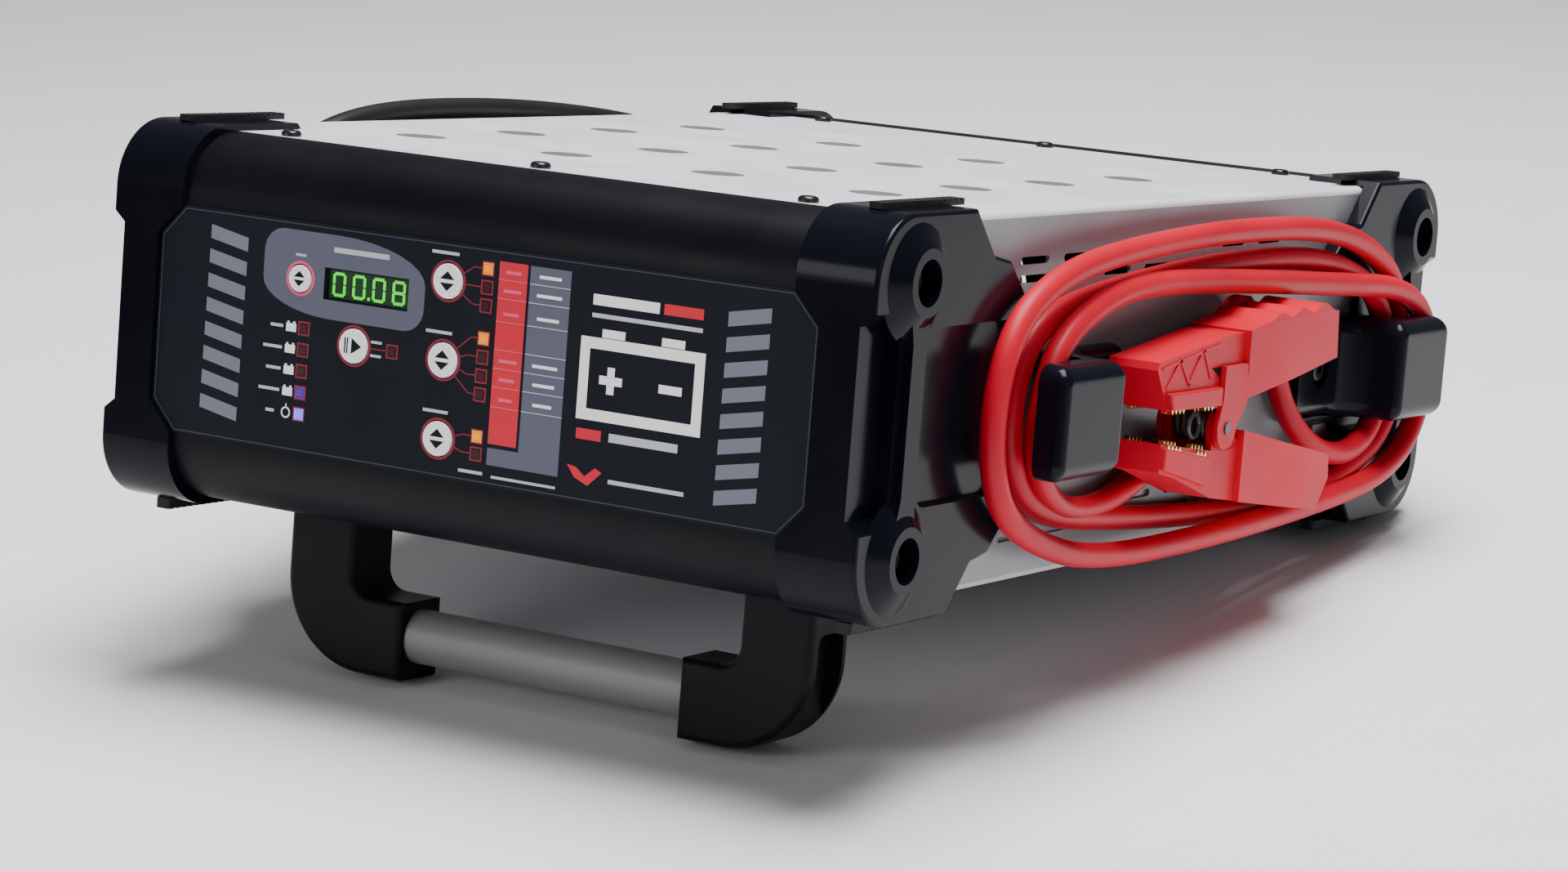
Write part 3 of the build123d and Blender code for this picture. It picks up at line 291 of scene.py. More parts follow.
def ring_mesh(name, rings, material, body):
    """A skin through rings of points with the same number of points each, capped at both ends."""
    count = len(rings[0])
    vertices = [point for ring in rings for point in ring]
    faces = []
    for i in range(len(rings) - 1):
        for j in range(count):
            k = (j + 1) % count
            faces.append((i * count + j, i * count + k, (i + 1) * count + k, (i + 1) * count + j))
    faces.append(tuple(reversed(range(count))))
    faces.append(tuple((len(rings) - 1) * count + j for j in range(count)))
    return mesh_piece(name, vertices, faces, material, body, smooth=True)


# ---- battery leads ----
LEAD_D = 10.0
WALL_GAP = 5.8           # from the cover's side wall to the lead's middle
OUTLET_X = COVER_HALF_W + WALL_GAP
OUTLET_Z = -28.0
SLEEVE_X = 171.4         # lead's middle where it enters its clamp
# Points of a lead, right side: x out from the charger's middle, y back and z up.
OUTLET_ROUTE = [
    (OUTLET_X, 265.0, OUTLET_Z),
    (OUTLET_X, 243.0, OUTLET_Z),
    (OUTLET_X + 0.1, 219.0, -38.0),
    (OUTLET_X + 0.4, 192.0, -44.5),
    (OUTLET_X + 1.4, 166.0, -45.5),
    (OUTLET_X + 3.8, 143.0, -40.5),
    (OUTLET_X + 6.8, 124.0, -30.0),
    (OUTLET_X + 9.4, 113.5, -15.0),
]
CLAMP_ROUTE = [
    (179.6, 437.0, -20.0),
    (180.6, 424.0, -34.0),
    (181.0, 404.0, -40.5),
    (179.8, 384.0, -39.5),
    (SLEEVE_X + 6.0, 366.5, -33.0),
    (SLEEVE_X + 1.2, 352.0, -18.4),
    (SLEEVE_X, 341.0, 0.2),
    (SLEEVE_X, 317.0, 14.6),
]
TURN_CENTRE_Y = 268.0
TURN_CENTRE_Z = -4.0
POINTS_PER_QUARTER = 4
SQUARENESS = 2 / 3       # 1 would make each quarter turn a plain oval arc
FREE_SPAN = 150.0        # half the length of a run between the hooks
SIDESTEP_FROM = 50.0     # degrees past an end where a lead begins to move out or in
SIDESTEP_OVER = 40.0     # degrees it takes over that


def turn_stops(outer_top, outer_sag):
    """How far the wound lead reaches at the ends, tops and bottoms of its turns, in order.

    Each stop is (kind, reach, x, sag). Reach is y at an end and z at a top or a bottom, and sag
    is how far a top or bottom run rises toward the rear and drops toward the front."""
    return [
        ("end", 112.0, 181.5, 0.0),
        ("level", 41.0, 181.8, -5.0),
        ("end", 471.0, 186.8, 0.0),
        ("level", -64.0, 182.0, 3.5),
        ("end", 77.0, 180.0, 0.0),
        ("level", outer_top, 177.0, outer_sag),
        ("end", 454.0, 180.0, 0.0),
        ("level", -57.0, 170.8, -4.5),
        ("end", 104.0, 172.8, 0.0),
        ("level", 46.0, 171.4, 3.5),
        ("end", 441.0, 178.9, 0.0),
    ]


def turn_points(stops):
    """Points round the turns, quarter by quarter: each quarter is a squared-off oval arc."""
    points = []
    for (kind, reach, x, sag), (_, next_reach, next_x, next_sag) in zip(stops, stops[1:]):
        for i in range(POINTS_PER_QUARTER):
            turn = math.pi / 2 * i / POINTS_PER_QUARTER
            leaving = math.cos(turn) ** SQUARENESS
            coming = math.sin(turn) ** SQUARENESS
            from_end = turn if kind == "end" else math.pi / 2 - turn
            share = (math.degrees(from_end) - SIDESTEP_FROM) / SIDESTEP_OVER
            share = min(1.0, max(0.0, share))
            share = share * share * (3 - 2 * share)
            end_x, level_x = (x, next_x) if kind == "end" else (next_x, x)
            if kind == "end":
                y = TURN_CENTRE_Y + (reach - TURN_CENTRE_Y) * leaving
                z = TURN_CENTRE_Z + (next_reach - TURN_CENTRE_Z) * coming
            else:
                y = TURN_CENTRE_Y + (next_reach - TURN_CENTRE_Y) * coming
                z = TURN_CENTRE_Z + (reach - TURN_CENTRE_Z) * leaving
            along = max(-1.0, min(1.0, (y - TURN_CENTRE_Y) / FREE_SPAN))
            z += (sag + next_sag) * math.sin(math.pi * along)
            points.append((end_x + (level_x - end_x) * share, y, z))
    return points


def battery_lead(colour, side, outer_top, outer_sag, material):
    """One lead from its outlet, three times round the hooks, to its clamp."""
    stops = turn_stops(outer_top, outer_sag)
    last_x, last_y = stops[-1][2], stops[-1][1]
    route = OUTLET_ROUTE + turn_points(stops) + [(last_x, last_y, TURN_CENTRE_Z)] + CLAMP_ROUTE
    curve = bpy.data.curves.new(colour + "_lead", "CURVE")
    curve.dimensions = "3D"
    spline = curve.splines.new("NURBS")
    spline.points.add(len(route) - 1)
    for point, (x, y, z) in zip(spline.points, route):
        point.co = (*at(side * x, y, z), 1.0)
    spline.order_u = 3
    spline.use_endpoint_u = True
    spline.resolution_u = 10
    curve.bevel_depth = LEAD_D / 2 * MM
    curve.bevel_resolution = 5
    curve.use_fill_caps = True
    curve.materials.append(material)
    lead = bpy.data.objects.new(colour + "_lead", curve)
    bpy.context.scene.collection.objects.link(lead)
    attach(lead, "case")
    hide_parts(colour + "_lead_coil", colour + "_lead_from_outlet", colour + "_lead_to_clamp")
    relief = strain_relief(colour, side, material)


RELIEF_LEN = 26.0
RELIEF_RIBS = 5
RELIEF_R = 7.2
RELIEF_TAPER = 1.4       # how much thinner its free end is
RELIEF_GROOVE = 0.7
RELIEF_Y = 264.6         # its thick end, in the outlet's mouth
RELIEF_DROP = 3.4        # how far its free end droops
RELIEF_SIDES = 24


def strain_relief(colour, side, material):
    """Tapered, ribbed sleeve round the lead where it leaves its outlet."""
    rings = []
    steps = RELIEF_RIBS * 4
    for i in range(steps + 1):
        along = i / steps
        radius = RELIEF_R - RELIEF_TAPER * along - (RELIEF_GROOVE if i % 4 in (1, 2) else 0.0)
        y = RELIEF_Y - along * RELIEF_LEN
        drop = RELIEF_DROP * along * along
        ring = []
        for j in range(RELIEF_SIDES):
            a = 2 * math.pi * j / RELIEF_SIDES
            reach = min(radius, WALL_GAP) if math.cos(a) < 0 else radius   # flat against the wall
            ring.append(at(side * (OUTLET_X + reach * math.cos(a)), y,
                           OUTLET_Z - drop + radius * math.sin(a)))
        rings.append(ring)
    return ring_mesh(colour + "_strain_relief", rings, material, "case")


battery_lead("red", 1, 60.5, 2.0, red_rubber)
battery_lead("black", -1, 75.5, -4.0, black_rubber)


# ---- printed panel ----
PANEL_Y = -0.6           # printed face of the overlay
PRINT_T = 0.06
INK_Y = PANEL_Y - PRINT_T
TOP_INK_Y = PANEL_Y - 2 * PRINT_T    # of what is printed over other print


def slabs(name, outlines, y_face, material, body="case"):
    """Thin flat shapes from (x, z) outlines, in one mesh, their front at y_face."""
    pierced_slabs(name, [[outline] for outline in outlines], y_face, material, body)


def pierced_slabs(name, shapes, y_face, material, body="case"):
    """Thin flat shapes, each a list of (x, z) loops: its outline first, then its openings."""
    vertices, faces = [], []
    for loops in shapes:
        start = len(vertices)
        flat = [point for loop in loops for point in loop]
        count = len(flat)
        vertices += [at(x, y_face, z) for x, z in flat]
        vertices += [at(x, y_face + PRINT_T, z) for x, z in flat]
        for triangle in tessellate_polygon([[Vector((x, z, 0)) for x, z in loop] for loop in loops]):
            faces.append(tuple(start + i for i in triangle))
            faces.append(tuple(start + count + i for i in reversed(triangle)))
        first = start
        for loop in loops:
            for i in range(len(loop)):
                a, b = first + i, first + (i + 1) % len(loop)
                faces.append((a, b, b + count, a + count))
            first += len(loop)
    mesh_piece(name, vertices, faces, material, body)


def box_outline(x0, x1, z0, z1):
    return [(x0, z0), (x1, z0), (x1, z1), (x0, z1)]


def rounded_outline(x0, x1, z0, z1, radii, steps=8):
    """A box whose corners are quarter ovals; radii are (rx, rz) from bottom left, anticlockwise."""
    corners = [(x0, z0, 1, 1, 180), (x1, z0, -1, 1, 270), (x1, z1, -1, -1, 0), (x0, z1, 1, -1, 90)]
    points = []
    for (x, z, sx, sz, start), (rx, rz) in zip(corners, radii):
        for i in range(steps + 1):
            a = math.radians(start + 90 * i / steps)
            points.append((x + sx * rx + rx * math.cos(a), z + sz * rz + rz * math.sin(a)))
    return points


def stroke(points, width):
    """Outlines of a line of this width through (x, z) points, one box per run."""
    outlines = []
    for (x0, z0), (x1, z1) in zip(points, points[1:]):
        run = Vector((x1 - x0, z1 - z0))
        along = run.normalized() * width / 2
        across = Vector((-along.y, along.x))
        a, b = Vector((x0, z0)) - along, Vector((x1, z1)) + along
        outlines.append([tuple(a - across), tuple(b - across), tuple(b + across), tuple(a + across)])
    return outlines


def circle_outline(x, z, radius, steps=40):
    turns = [2 * math.pi * i / steps for i in range(steps)]
    return [(x + radius * math.cos(a), z + radius * math.sin(a)) for a in turns]


def ring_shape(x, z, inner, outer):
    return [circle_outline(x, z, outer), circle_outline(x, z, inner)]


def square_ring(x, z, inner, outer):
    """A square frame; inner and outer are half-widths."""
    return [box_outline(x - outer, x + outer, z - outer, z + outer),
            box_outline(x - inner, x + inner, z - inner, z + inner)]


BARS = 8                 # in each column
BAR_H = 5.4
# Slanted bars near the ends of the panel. A column is its top bar's corner, the way from there to
# its bottom bar's corner, and how far a bar runs across and up.
BAR_COLUMNS = [((-125.4, 38.6), (-0.8, -66.1), (18.2, -3.4)),
               ((111.5, 33.5), (-0.6, -65.4), (18.0, 3.4))]


def side_bars():
    outlines = []
    for i in range(BARS):
        share = i / (BARS - 1)
        for (top_x, top_z), (way_x, way_z), (across, up) in BAR_COLUMNS:
            x, z = top_x + way_x * share, top_z + way_z * share
            outlines.append([(x, z - BAR_H), (x + across, z - BAR_H + up),
                             (x + across, z + up), (x, z)])
    slabs("panel_side_bars", outlines, INK_Y, print_bar)


side_bars()

EDGE_LINE_W = 0.5
EDGE_X, EDGE_CUT_X = 148.9, 138.3
EDGE_Z, EDGE_CUT_Z = 43.6, 32.3


def panel_edge(inset):
    """The panel's cut-cornered outline, drawn in by inset."""
    x, z = EDGE_X - inset, EDGE_Z - inset
    cut_x, cut_z = EDGE_CUT_X - inset / 2, EDGE_CUT_Z - inset / 2
    return [(cut_x, z), (x, cut_z), (x, -cut_z), (cut_x, -z),
            (-cut_x, -z), (-x, -cut_z), (-x, cut_z), (-cut_x, z)]


pierced_slabs("panel_edge_line", [[panel_edge(0.0), panel_edge(EDGE_LINE_W)]], INK_Y, print_dim)

METER_FIELD = rounded_outline(-99.0, -22.7, 8.6, 41.0, [(34, 13), (9, 9), (42, 15), (9, 9)])
DISPLAY_OPENING = box_outline(-69.9, -30.3, 16.0, 28.3)
METER_KEY_OPENING = circle_outline(-81.2, 22.6, 5.7)
pierced_slabs("panel_meter_field", [[METER_FIELD, DISPLAY_OPENING, METER_KEY_OPENING]],
              INK_Y, print_grey)

# Two label strips beside the mode lights, ruled where one entry ends and the next begins.
RED_STRIP = (10.5, 23.3, -28.5, 40.0)
GREY_STRIP = (24.5, 42.7, -36.5, 39.9)
GREY_FOOT = (10.5, 24.5, -36.5, -30.0)
RULES_Z = (33.2, 26.2, 17.6, 7.0, 0.0, -7.0, -14.5)
RULE_H = 0.3


def strip_rules(strip):
    left, right = strip[:2]
    return [box_outline(left, right, z - RULE_H / 2, z + RULE_H / 2) for z in RULES_Z]


slabs("panel_red_strip", [box_outline(*RED_STRIP)], INK_Y, print_red)
slabs("panel_grey_strip", [box_outline(*GREY_STRIP), box_outline(*GREY_FOOT)], INK_Y, print_grey)
slabs("panel_red_rules", strip_rules(RED_STRIP), TOP_INK_Y, print_pink)
slabs("panel_grey_rules", strip_rules(GREY_STRIP), TOP_INK_Y, print_light)

# Short plain dashes stand where the panel has printed words.
DASH_H = 1.2
DASH_RISE = 3.0          # above the rule it belongs to
STRIP_DASH_WIDTHS = (7.0, 8.0, 7.0, 0.0, 8.0, 7.0, 6.0)
RED_DASH_X = 17.0
GREY_DASH_X = 33.6
GREY_DASH_STRETCH = 1.4


def strip_dashes(middle, stretch):
    """A dash over each rule, stretch times its listed width, and none where that is 0."""
    outlines = []
    for rule_z, width in zip(RULES_Z, STRIP_DASH_WIDTHS):
        if width:
            half = width * stretch / 2
            z = rule_z + DASH_RISE
            outlines.append(box_outline(middle - half, middle + half, z - DASH_H / 2, z + DASH_H / 2))
    return outlines


slabs("panel_red_dashes", strip_dashes(RED_DASH_X, 1.0), TOP_INK_Y, print_pink)
slabs("panel_grey_dashes", strip_dashes(GREY_DASH_X, GREY_DASH_STRETCH), TOP_INK_Y, print_white)

# Each is its left and right ends, the height of its middle and its own height.
WORD_DASHES = [
    (-66.0, -40.0, 35.4, 2.0), (-84.0, -79.0, 31.6, 1.0), (-20.5, -8.0, 40.3, 1.2),
    (-21.0, -9.0, 10.3, 1.2), (-20.0, -8.5, -19.6, 1.2), (-2.0, 9.0, -40.2, 1.2),
    (13.0, 42.0, -40.8, 1.0), (-46.0, -41.0, 2.6, 1.0), (-46.0, -41.0, -2.6, 1.0),
    (-94.0, -88.0, 3.6, 1.2), (-97.0, -88.0, -4.7, 1.2), (-95.0, -88.0, -12.9, 1.2),
    (-98.0, -88.0, -21.2, 1.2), (-94.0, -90.0, -29.5, 1.2),
]
slabs("panel_word_dashes",
      [box_outline(x0, x1, z - h / 2, z + h / 2) for x0, x1, z, h in WORD_DASHES],
      TOP_INK_Y, print_light)

# Keys, the lights they choose between, and the lines that join them. A key is x, z and radius.
KEYS = {
    "key_meter": (-81.2, 22.6, 5.2),
    "key_voltage": (-12.3, 29.8, 6.6),
    "key_current": (-12.3, 0.0, 6.6),
    "key_function": (-12.3, -29.8, 6.6),
    "key_start": (START_KEY_X, 0.0, 6.6),
}
MODE_LED_X = 5.4
CHOICES = {
    "key_voltage": (36.5, 29.5, 22.6),
    "key_current": (10.3, 3.3, -3.8, -10.8),
    "key_function": (-26.6, -33.2),
}
STATE_LED_X = -78.1
STATE_LED_Z = (3.6, -4.7, -12.9, -21.2, -29.5)
START_LED = (-36.1, 0.0)
LED_SIZE = 3.2           # lens
LED_FACE = 2.2           # half-width of the printed window round it
LED_FRAME = 2.75         # half-width of its border
LENS_GAP = 0.05          # between the lens and its window
KEY_FACE_Y = -1.5
HALO_INNER = 0.5         # halo's inner edge, out from the key's
HALO_OUTER = 1.4
METER_HALO_OUTER = 1.6
LINK_W = 0.45
LINK_FAN = 0.55          # how far the lines spread where they leave a key
ELBOW_OUT = 3.5          # an elbow's distance from its key,
ELBOW_SLANT = 0.2        # and what each millimetre up or down adds to it


def key_halos():
    maroon = []
    for name, (x, z, radius) in KEYS.items():
        if name != "key_meter":
            maroon.append(ring_shape(x, z, radius + HALO_INNER, radius + HALO_OUTER))
    pierced_slabs("panel_key_halos", maroon, INK_Y, print_maroon)
    x, z, radius = KEYS["key_meter"]
    meter_halo = ring_shape(x, z, radius + HALO_INNER, radius + METER_HALO_OUTER)
    pierced_slabs("panel_meter_halo", [meter_halo], TOP_INK_Y, print_pink)


def key_links():
    """A bent line from a choice key to each of its lights, and one from the start key to its own."""
    lines = []
    for name, levels in CHOICES.items():
        x, z, radius = KEYS[name]
        reach = radius + HALO_OUTER
        for level in levels:
            start = math.atan2((level - z) * LINK_FAN, radius)
            leave = (x + reach * math.cos(start), z + reach * math.sin(start))
            elbow = (x + radius + ELBOW_OUT + ELBOW_SLANT * abs(level - z), level)
            lines += stroke([leave, elbow, (MODE_LED_X - LED_FRAME, level)], LINK_W)
    x, z, radius = KEYS["key_start"]
    lines += stroke([(x + radius + HALO_OUTER, z), (START_LED[0] - LED_FRAME, z)], LINK_W)
    slabs("panel_key_links", lines, INK_Y, print_maroon)


LIGHTS = [(MODE_LED_X, z) for levels in CHOICES.values() for z in levels]
LIGHTS += [(STATE_LED_X, z) for z in STATE_LED_Z] + [START_LED]
LIT_LIGHTS = {
    (MODE_LED_X, 36.5): led_amber, (MODE_LED_X, 10.3): led_amber, (MODE_LED_X, -26.6): led_amber,
    (STATE_LED_X, -29.5): led_blue, (STATE_LED_X, -21.2): led_purple,
}


def led_frames():
    """A border round each light, and a window between border and lens in the light's colour."""
    borders = [square_ring(x, z, LED_FACE, LED_FRAME) for x, z in LIGHTS]
    pierced_slabs("panel_led_frames", borders, INK_Y, print_maroon)
    for material in (led_off, led_amber, led_blue, led_purple):
        windows = [square_ring(x, z, LED_SIZE / 2 + LENS_GAP, LED_FACE) for x, z in LIGHTS
                   if LIT_LIGHTS.get((x, z), led_off) == material]
        pierced_slabs("panel_" + material.name + "_windows", windows, INK_Y, material)


# Sizes of the arrows on the choice keys, as shares of the key's radius.
SIGN_HALF_W = 0.50
SIGN_TALL = 0.46
SIGN_GAP = 0.11
# Edges of the start sign's two bars, from its left, and how far its arrow's tail and tip stand
# from the key's middle and from the sign's right.
START_BARS = ((-0.6, 0.0), (0.5, 1.1))
START_TAIL = -0.6
START_TIP = 0.8


def key_signs():
    """Up and down arrows on the choice keys, two bars and an arrow on the start key."""
    for name, (x, z, radius) in KEYS.items():
        half, tall, gap = radius * SIGN_HALF_W, radius * SIGN_TALL, radius * SIGN_GAP
        if name == "key_start":
            outlines = [box_outline(x - half + left, x - half + right, z - tall, z + tall)
                        for left, right in START_BARS]
            outlines.append([(x + START_TAIL, z - tall), (x + half + START_TIP, z),
                             (x + START_TAIL, z + tall)])
        else:
            outlines = [[(x - half, z + gap), (x + half, z + gap), (x, z + gap + tall)],
                        [(x - half, z - gap), (x, z - gap - tall), (x + half, z - gap)]]
        slabs(name + "_sign", outlines, KEY_FACE_Y - PRINT_T, panel_navy, name)


key_halos()
key_links()
led_frames()
key_signs()

# Small battery pictures beside the state lights. Heights are from the light's middle.
ICON_X = (-86.6, -81.8)
ICON_BOTTOM, ICON_TOP = -1.8, 1.4
ICON_POSTS_X = (-86.1, -83.3)
ICON_POST_W = 1.0
ICON_POST_TOP = 2.2
POWER_RING_X = -84.4
POWER_RING_R = (1.6, 2.2)
POWER_TICK_X = (-84.65, -84.15)
POWER_TICK_Z = (2.3, 3.4)


def state_icons():
    """Battery pictures beside the first four state lights, and a ring with a tick for power."""
    outlines = []
    for z in STATE_LED_Z[:4]:
        outlines.append(box_outline(*ICON_X, z + ICON_BOTTOM, z + ICON_TOP))
        outlines += [box_outline(x, x + ICON_POST_W, z + ICON_TOP, z + ICON_POST_TOP)
                     for x in ICON_POSTS_X]
    z = STATE_LED_Z[4]
    outlines.append(box_outline(*POWER_TICK_X, z + POWER_TICK_Z[0], z + POWER_TICK_Z[1]))
    slabs("panel_state_icons", outlines, INK_Y, print_white)
    pierced_slabs("panel_power_icon", [ring_shape(POWER_RING_X, z, *POWER_RING_R)], INK_Y, print_white)


state_icons()


def battery_mark():
    """Large plain battery sign with plus and minus, and plain bars above and below it."""
    case = [box_outline(48.9, 103.1, -13.6, 17.1), box_outline(53.1, 98.9, -9.4, 12.9)]
    plus = [(58.0, 0.2), (61.4, 0.2), (61.4, -3.2), (64.6, -3.2), (64.6, 0.2), (68.0, 0.2),
            (68.0, 3.4), (64.6, 3.4), (64.6, 6.8), (61.4, 6.8), (61.4, 3.4), (58.0, 3.4)]
    minus = box_outline(84.0, 94.0, 0.2, 3.4)
    top_bar = box_outline(53.0, 82.0, 29.0, 33.0)
    posts = [[box_outline(x, x + 10.0, 17.4, 20.5)] for x in (58.0, 84.0)]
    pierced_slabs("panel_mark_white", [case, [plus], [minus], [top_bar]] + posts, INK_Y, print_white)
    tick = [(46.5, -31.0), (50.0, -35.5), (56.0, -38.0), (62.0, -32.5),
            (59.0, -31.0), (54.5, -34.6), (50.5, -31.6)]
    red = [box_outline(84.0, 101.0, 29.0, 33.0), box_outline(49.5, 60.5, -21.0, -17.0), tick]
    slabs("panel_mark_red", red, INK_Y, print_red)
    light = [box_outline(53.0, 101.0, 24.4, 26.0), box_outline(64.0, 94.0, -20.6, -17.4),
             box_outline(65.0, 98.0, -36.0, -34.4)]
    slabs("panel_mark_light", light, INK_Y, print_light)


battery_mark()


# ---- clamps ----
# Outlines on a clamp are (y, z) points, back from its pivot and above it.
CLAMP_X = 190.8
CLAMP_Y = 230.0
CLAMP_Z = -13.6
JAW_FACE = 10.8          # jaw's flank, out from the clamp's middle
LIP_FACE = 13.7          # outer face of the upper jaw's lip
UNDER_LIP_FACE = LIP_FACE - 0.8
ROOT = 0.3               # how far a raised piece is sunk into what it stands on

# Thick edges of the upper and lower jaws, beside their teeth.
JAW_LIP = [(-50.0, 10.4), (-53.0, 17.2), (-6.5, 17.0), (-6.5, 9.4)]
UNDER_LIP = [(-51.8, -4.0), (-52.2, -12.6), (-39.0, -15.6), (-11.5, -22.6), (-11.5, -10.6)]

# Bars that brace the upper jaw's flank: a zigzag with a straight one over it.
RIB_LINES = [[(-52.0, 19.0), (-42.0, 29.5), (-33.0, 19.5), (-22.0, 32.5), (-14.0, 21.0)],
             [(-56.5, 27.0), (-8.0, 33.5)]]
RIB_W = 1.3
RIB_STANDS = 0.55

# Dark three-cornered opening at the root of the upper jaw, drawn as a thin sheet of painted shadow.
POCKET_SHADOW = [(-13.0, 24.5), (-5.5, 24.5), (-5.5, 20.6)]
POCKET_SHADOW_STANDS = 0.25

# The upper grip's back rises from its neck to its crest, and falls slowly behind it.
GRIP_HALF_W = 13.4
GRIP_NECK_Y, GRIP_NECK_Z = 30.0, 40.5
GRIP_CREST_Y = 90.0
GRIP_RISE = 2.5
GRIP_FALL_RUN = 9.0      # millimetres back for each one it falls
SCALLOPS = 3
SCALLOP_STEPS = 8        # points along each
SCALLOP_Y = (33.0, 95.0)
SCALLOP_RISE = 3.0
SCALLOP_BACK_ROOT = 1.5

TOOTH_PITCH = 3.2
TOOTH_DEPTH = 2.3
TOOTH_STUB = 0.25        # share of the depth left at a tooth's foot and between the groups
TOOTH_PROFILE = ((0.15, TOOTH_STUB), (0.5, 1.0), (0.85, TOOTH_STUB))
FRONT_TEETH = 4          # at the jaw's tip
BACK_TEETH = 3
UPPER_TEETH = ((-49.0, 10.9), (-10.5, 10.0))
LOWER_TEETH = ((-49.5, -4.9), (-13.0, -10.8))
TEETH_INNER_X = JAW_FACE - 1.2
TEETH_OUTER_X = LIP_FACE - 1.6

SPRING_TURNS = 5
SPRING_R = 5.9
SPRING_WIRE_R = 0.95
SPRING_HALF_W = 7.0
RING_PLACE = (4.5, -12.0, 0.9)
RING_R = 4.8
RING_WIRE_R = 1.2


def at_clamp(side, x, y, z):
    """A point out from a clamp's middle, back from its pivot and above it."""
    return at(side * (CLAMP_X + x), CLAMP_Y + y, CLAMP_Z + z)


def side_prism(name, side, outline, x0, x1, material, body, soften=0.0):
    """A (y, z) outline carried across from x0 to x1, its edges softened when soften is given."""
    count = len(outline)
    vertices = [at_clamp(side, x, y, z) for x in (x0, x1) for y, z in outline]
    faces = [tuple(range(count)), tuple(reversed(range(count, 2 * count)))]
    for i in range(count):
        k = (i + 1) % count
        faces.append((k, i, count + i, count + k))
    piece = mesh_piece(name, vertices, faces, material, body)
    if soften:
        bevel = piece.modifiers.new("softened", "BEVEL")
        bevel.width = soften * MM
        bevel.segments = 3


def grip_top(y):
    """Height of the upper grip's back above the pivot."""
    rise = (min(y, GRIP_CREST_Y) - GRIP_NECK_Y) * GRIP_RISE / (GRIP_CREST_Y - GRIP_NECK_Y)
    return GRIP_NECK_Z + rise - max(0.0, y - GRIP_CREST_Y) / GRIP_FALL_RUN


def finger_scallops(colour, side, material, body):
    """Low waves for the fingers along the upper grip's back."""
    first, last = SCALLOP_Y
    steps = SCALLOPS * SCALLOP_STEPS
    top = []
    for i in range(steps + 1):
        y = first + (last - first) * i / steps
        wave = 0.5 - 0.5 * math.cos(2 * math.pi * SCALLOPS * i / steps)
        top.append((y, grip_top(y) + SCALLOP_RISE * wave))
    front_foot = (first, grip_top(first) - ROOT)
    back_foot = (last, grip_top(last) - SCALLOP_BACK_ROOT)
    side_prism(colour + "_clamp_scallops", side, [front_foot] + top + [back_foot],
               -GRIP_HALF_W, GRIP_HALF_W, material, body)


def jaw_ribs(colour, side, material, body):
    """Raised bars on the upper jaw's flank, as short straight strips."""
    for i, line in enumerate(RIB_LINES):
        for j, outline in enumerate(stroke(line, RIB_W)):
            side_prism(f"{colour}_clamp_rib_{i}_{j}", side, outline, JAW_FACE - ROOT,
                       JAW_FACE + RIB_STANDS, material, body, soften=0.2)


def spring_coil(colour, side):
    """Turns of wire round the pivot pin, over the spring's plain sleeve."""
    curve = bpy.data.curves.new(colour + "_spring_wire", "CURVE")
    curve.dimensions = "3D"
    per_turn = 20
    count = SPRING_TURNS * per_turn + 1
    spline = curve.splines.new("POLY")
    spline.points.add(count - 1)
    for i, point in enumerate(spline.points):
        a = 2 * math.pi * i / per_turn
        x = -SPRING_HALF_W + 2 * SPRING_HALF_W * i / (count - 1)
        point.co = (*at_clamp(side, x, SPRING_R * math.cos(a), SPRING_R * math.sin(a)), 1.0)
    curve.bevel_depth = SPRING_WIRE_R * MM
    curve.bevel_resolution = 3
    curve.use_fill_caps = True
    curve.materials.append(wire_grey)
    wire = bpy.data.objects.new(colour + "_spring_wire", curve)
    bpy.context.scene.collection.objects.link(wire)
    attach(wire, "case")


def tooth_row(name, side, ends, reach, body):
    """Brass teeth along a jaw's edge, in two groups; reach is their height, down if negative."""
    (y0, z0), (y1, z1) = ends
    count = int((y1 - y0) / TOOTH_PITCH)
    outline = [(y0, z0)]
    for i in range(count):
        toothed = i < FRONT_TEETH or i >= count - BACK_TEETH
        for share, height in TOOTH_PROFILE:
            t = (i + share) / count
            tall = height if toothed else TOOTH_STUB
            outline.append((y0 + (y1 - y0) * t, z0 + (z1 - z0) * t + reach * tall))
    outline.append((y1, z1))
    side_prism(name, side, outline, TEETH_INNER_X, TEETH_OUTER_X, brass, body)


def spring_ring(colour, side):
    """End loop of the spring, showing in the mouth of the clamp."""
    x, y, z = RING_PLACE
    steps, around = 32, 12
    loops = []
    for i in range(steps + 1):
        a = 2 * math.pi * i / steps
        loop = []
        for j in range(around):
            b = 2 * math.pi * j / around
            r = RING_R + RING_WIRE_R * math.cos(b)
            loop.append(at_clamp(side, x + RING_WIRE_R * math.sin(b),
                                 y + r * math.cos(a), z + r * math.sin(a)))
        loops.append(loop)
    ring_mesh(colour + "_spring_ring", loops, wire_grey, "case")


def clamp_details(colour, side, material):
    """What a clamp shows beyond its plain halves. Its lower half opens with the jaw's own body."""
    fixed, moving = "case", colour + "_jaw"
    side_prism(colour + "_clamp_jaw_lip", side, JAW_LIP, JAW_FACE - ROOT, LIP_FACE, material,
               fixed, soften=0.8)
    side_prism(colour + "_clamp_lower_lip", side, UNDER_LIP, JAW_FACE - ROOT, UNDER_LIP_FACE, material,
               moving, soften=0.7)
    # A thin dark sheet of painted shadow where the upper jaw has its opening.
    side_prism(colour + "_clamp_pocket_shadow", side, POCKET_SHADOW, JAW_FACE - ROOT, JAW_FACE + POCKET_SHADOW_STANDS,
               shadow_black, fixed)
    finger_scallops(colour, side, material, fixed)
    jaw_ribs(colour, side, material, fixed)
    spring_coil(colour, side)
    spring_ring(colour, side)
    tooth_row(colour + "_clamp_upper_tooth_row", side, UPPER_TEETH, -TOOTH_DEPTH, fixed)
    tooth_row(colour + "_clamp_lower_tooth_row", side, LOWER_TEETH, TOOTH_DEPTH, moving)


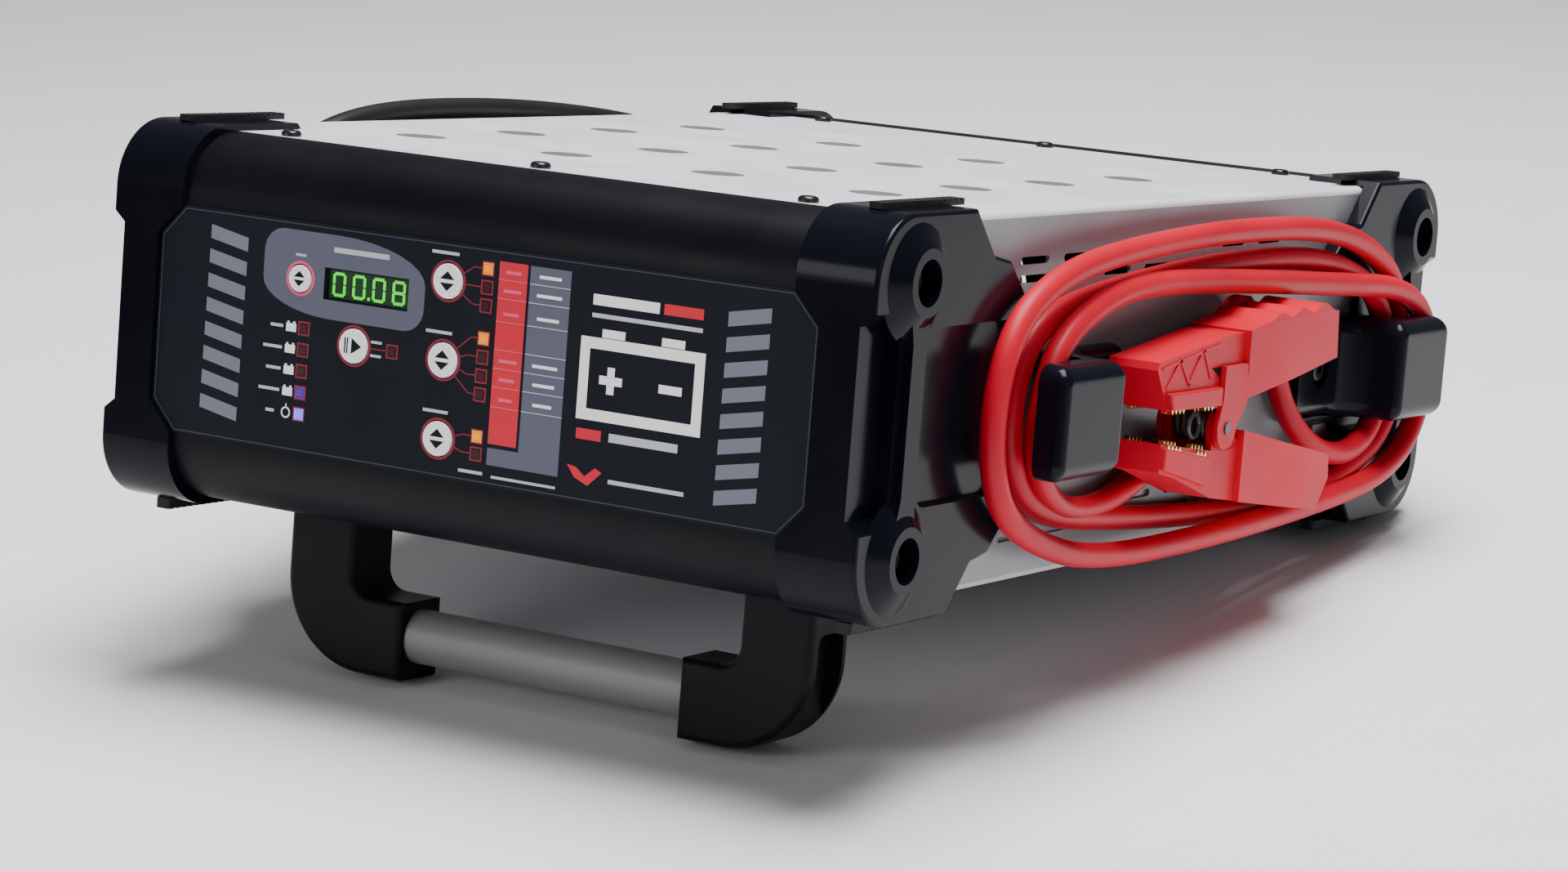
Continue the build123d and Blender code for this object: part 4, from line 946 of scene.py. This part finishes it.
clamp_details("red", 1, red_plastic)
clamp_details("black", -1, black_plastic)


# ---- digital display ----
DIGIT_Y = 1.30
DIGIT_H = 8.2
DIGIT_W = 5.0
DIGIT_PITCH = 9.35
FIRST_DIGIT_X = -64.1
DIGIT_Z = 22.15
SEGMENT_T = 1.35
SEGMENT_W = SEGMENT_T * 0.85
SEGMENT_INSET = SEGMENT_T * 0.62     # from a corner to where a segment starts
DECIMAL_POINT = (-50.6, -49.4, 17.7, 18.9)
SHOWN = "0008"
LIT = {"0": "abcdef", "8": "abcdefg"}


def digit_outlines(x, z, figure):
    """Lit segments of one seven-segment figure, x and z at its middle."""
    w, h = DIGIT_W / 2, DIGIT_H / 2
    ends = {
        "a": ((-w, h), (w, h)), "g": ((-w, 0), (w, 0)), "d": ((-w, -h), (w, -h)),
        "f": ((-w, 0), (-w, h)), "b": ((w, 0), (w, h)),
        "e": ((-w, -h), (-w, 0)), "c": ((w, -h), (w, 0)),
    }
    outlines = []
    for letter in LIT[figure]:
        (x0, z0), (x1, z1) = ends[letter]
        if z0 == z1:
            run = [(x + x0 + SEGMENT_INSET, z + z0), (x + x1 - SEGMENT_INSET, z + z1)]
        else:
            run = [(x + x0, z + z0 + SEGMENT_INSET), (x + x1, z + z1 - SEGMENT_INSET)]
        outlines += stroke(run, SEGMENT_W)
    return outlines


def display_digits():
    outlines = []
    for i, figure in enumerate(SHOWN):
        outlines += digit_outlines(FIRST_DIGIT_X + i * DIGIT_PITCH, DIGIT_Z, figure)
    outlines.append(box_outline(*DECIMAL_POINT))
    slabs("display_digits", outlines, DIGIT_Y, digit_green)


display_digits()


def light_lenses():
    """Lit and unlit lenses, told apart by where their faces are."""
    mesh = nodes["led_lenses"].data
    finishes = [led_off, led_amber, led_blue, led_purple]
    mesh.materials.clear()
    for material in finishes:
        mesh.materials.append(material)
    for polygon in mesh.polygons:
        px, _, pz = from_front(polygon.center)
        polygon.material_index = 0
        for (x, z), material in LIT_LIGHTS.items():
            if abs(px - x) < LED_SIZE and abs(pz - z) < LED_SIZE:
                polygon.material_index = finishes.index(material)


light_lenses()


# ---- studio ----
FLOOR_HALF = 6.0
WORLD_COLOUR = (0.90, 0.92, 0.96, 1.0)
WORLD_STRENGTH = 0.15


def floor():
    corners = [(-FLOOR_HALF, -FLOOR_HALF, 0), (FLOOR_HALF, -FLOOR_HALF, 0),
               (FLOOR_HALF, FLOOR_HALF, 0), (-FLOOR_HALF, FLOOR_HALF, 0)]
    mesh = bpy.data.meshes.new("floor")
    mesh.from_pydata(corners, [], [(0, 1, 2, 3)])
    mesh.materials.append(surface("floor_pale", (0.86, 0.86, 0.87), 0.7, mottle=0.01, mottle_scale=0.6))
    made = bpy.data.objects.new("floor", mesh)
    bpy.context.scene.collection.objects.link(made)


def softbox(name, place, aim, width, height, power):
    """A flat lamp at place, turned to aim. Lengths are in metres and power in watts."""
    data = bpy.data.lights.new(name, "AREA")
    data.shape = "RECTANGLE"
    data.size = width
    data.size_y = height
    data.energy = power
    light = bpy.data.objects.new(name, data)
    light.location = place
    light.rotation_euler = (Vector(aim) - Vector(place)).to_track_quat("-Z", "Y").to_euler()
    bpy.context.scene.collection.objects.link(light)


floor()
world = bpy.data.worlds.new("studio")
world.use_nodes = True
background = world.node_tree.nodes["Background"]
background.inputs["Color"].default_value = WORLD_COLOUR
background.inputs["Strength"].default_value = WORLD_STRENGTH
bpy.context.scene.world = world
softbox("overhead", (0.2, 0.1, 2.0), (0.05, -0.05, 0.1), 1.5, 1.1, 100)
softbox("front_left", (-0.9, -2.1, 0.9), (0, -0.1, 0.12), 0.9, 0.7, 10)
softbox("right_side", (2.1, -0.9, 0.9), (0.1, 0, 0.1), 0.9, 0.6, 2.5)
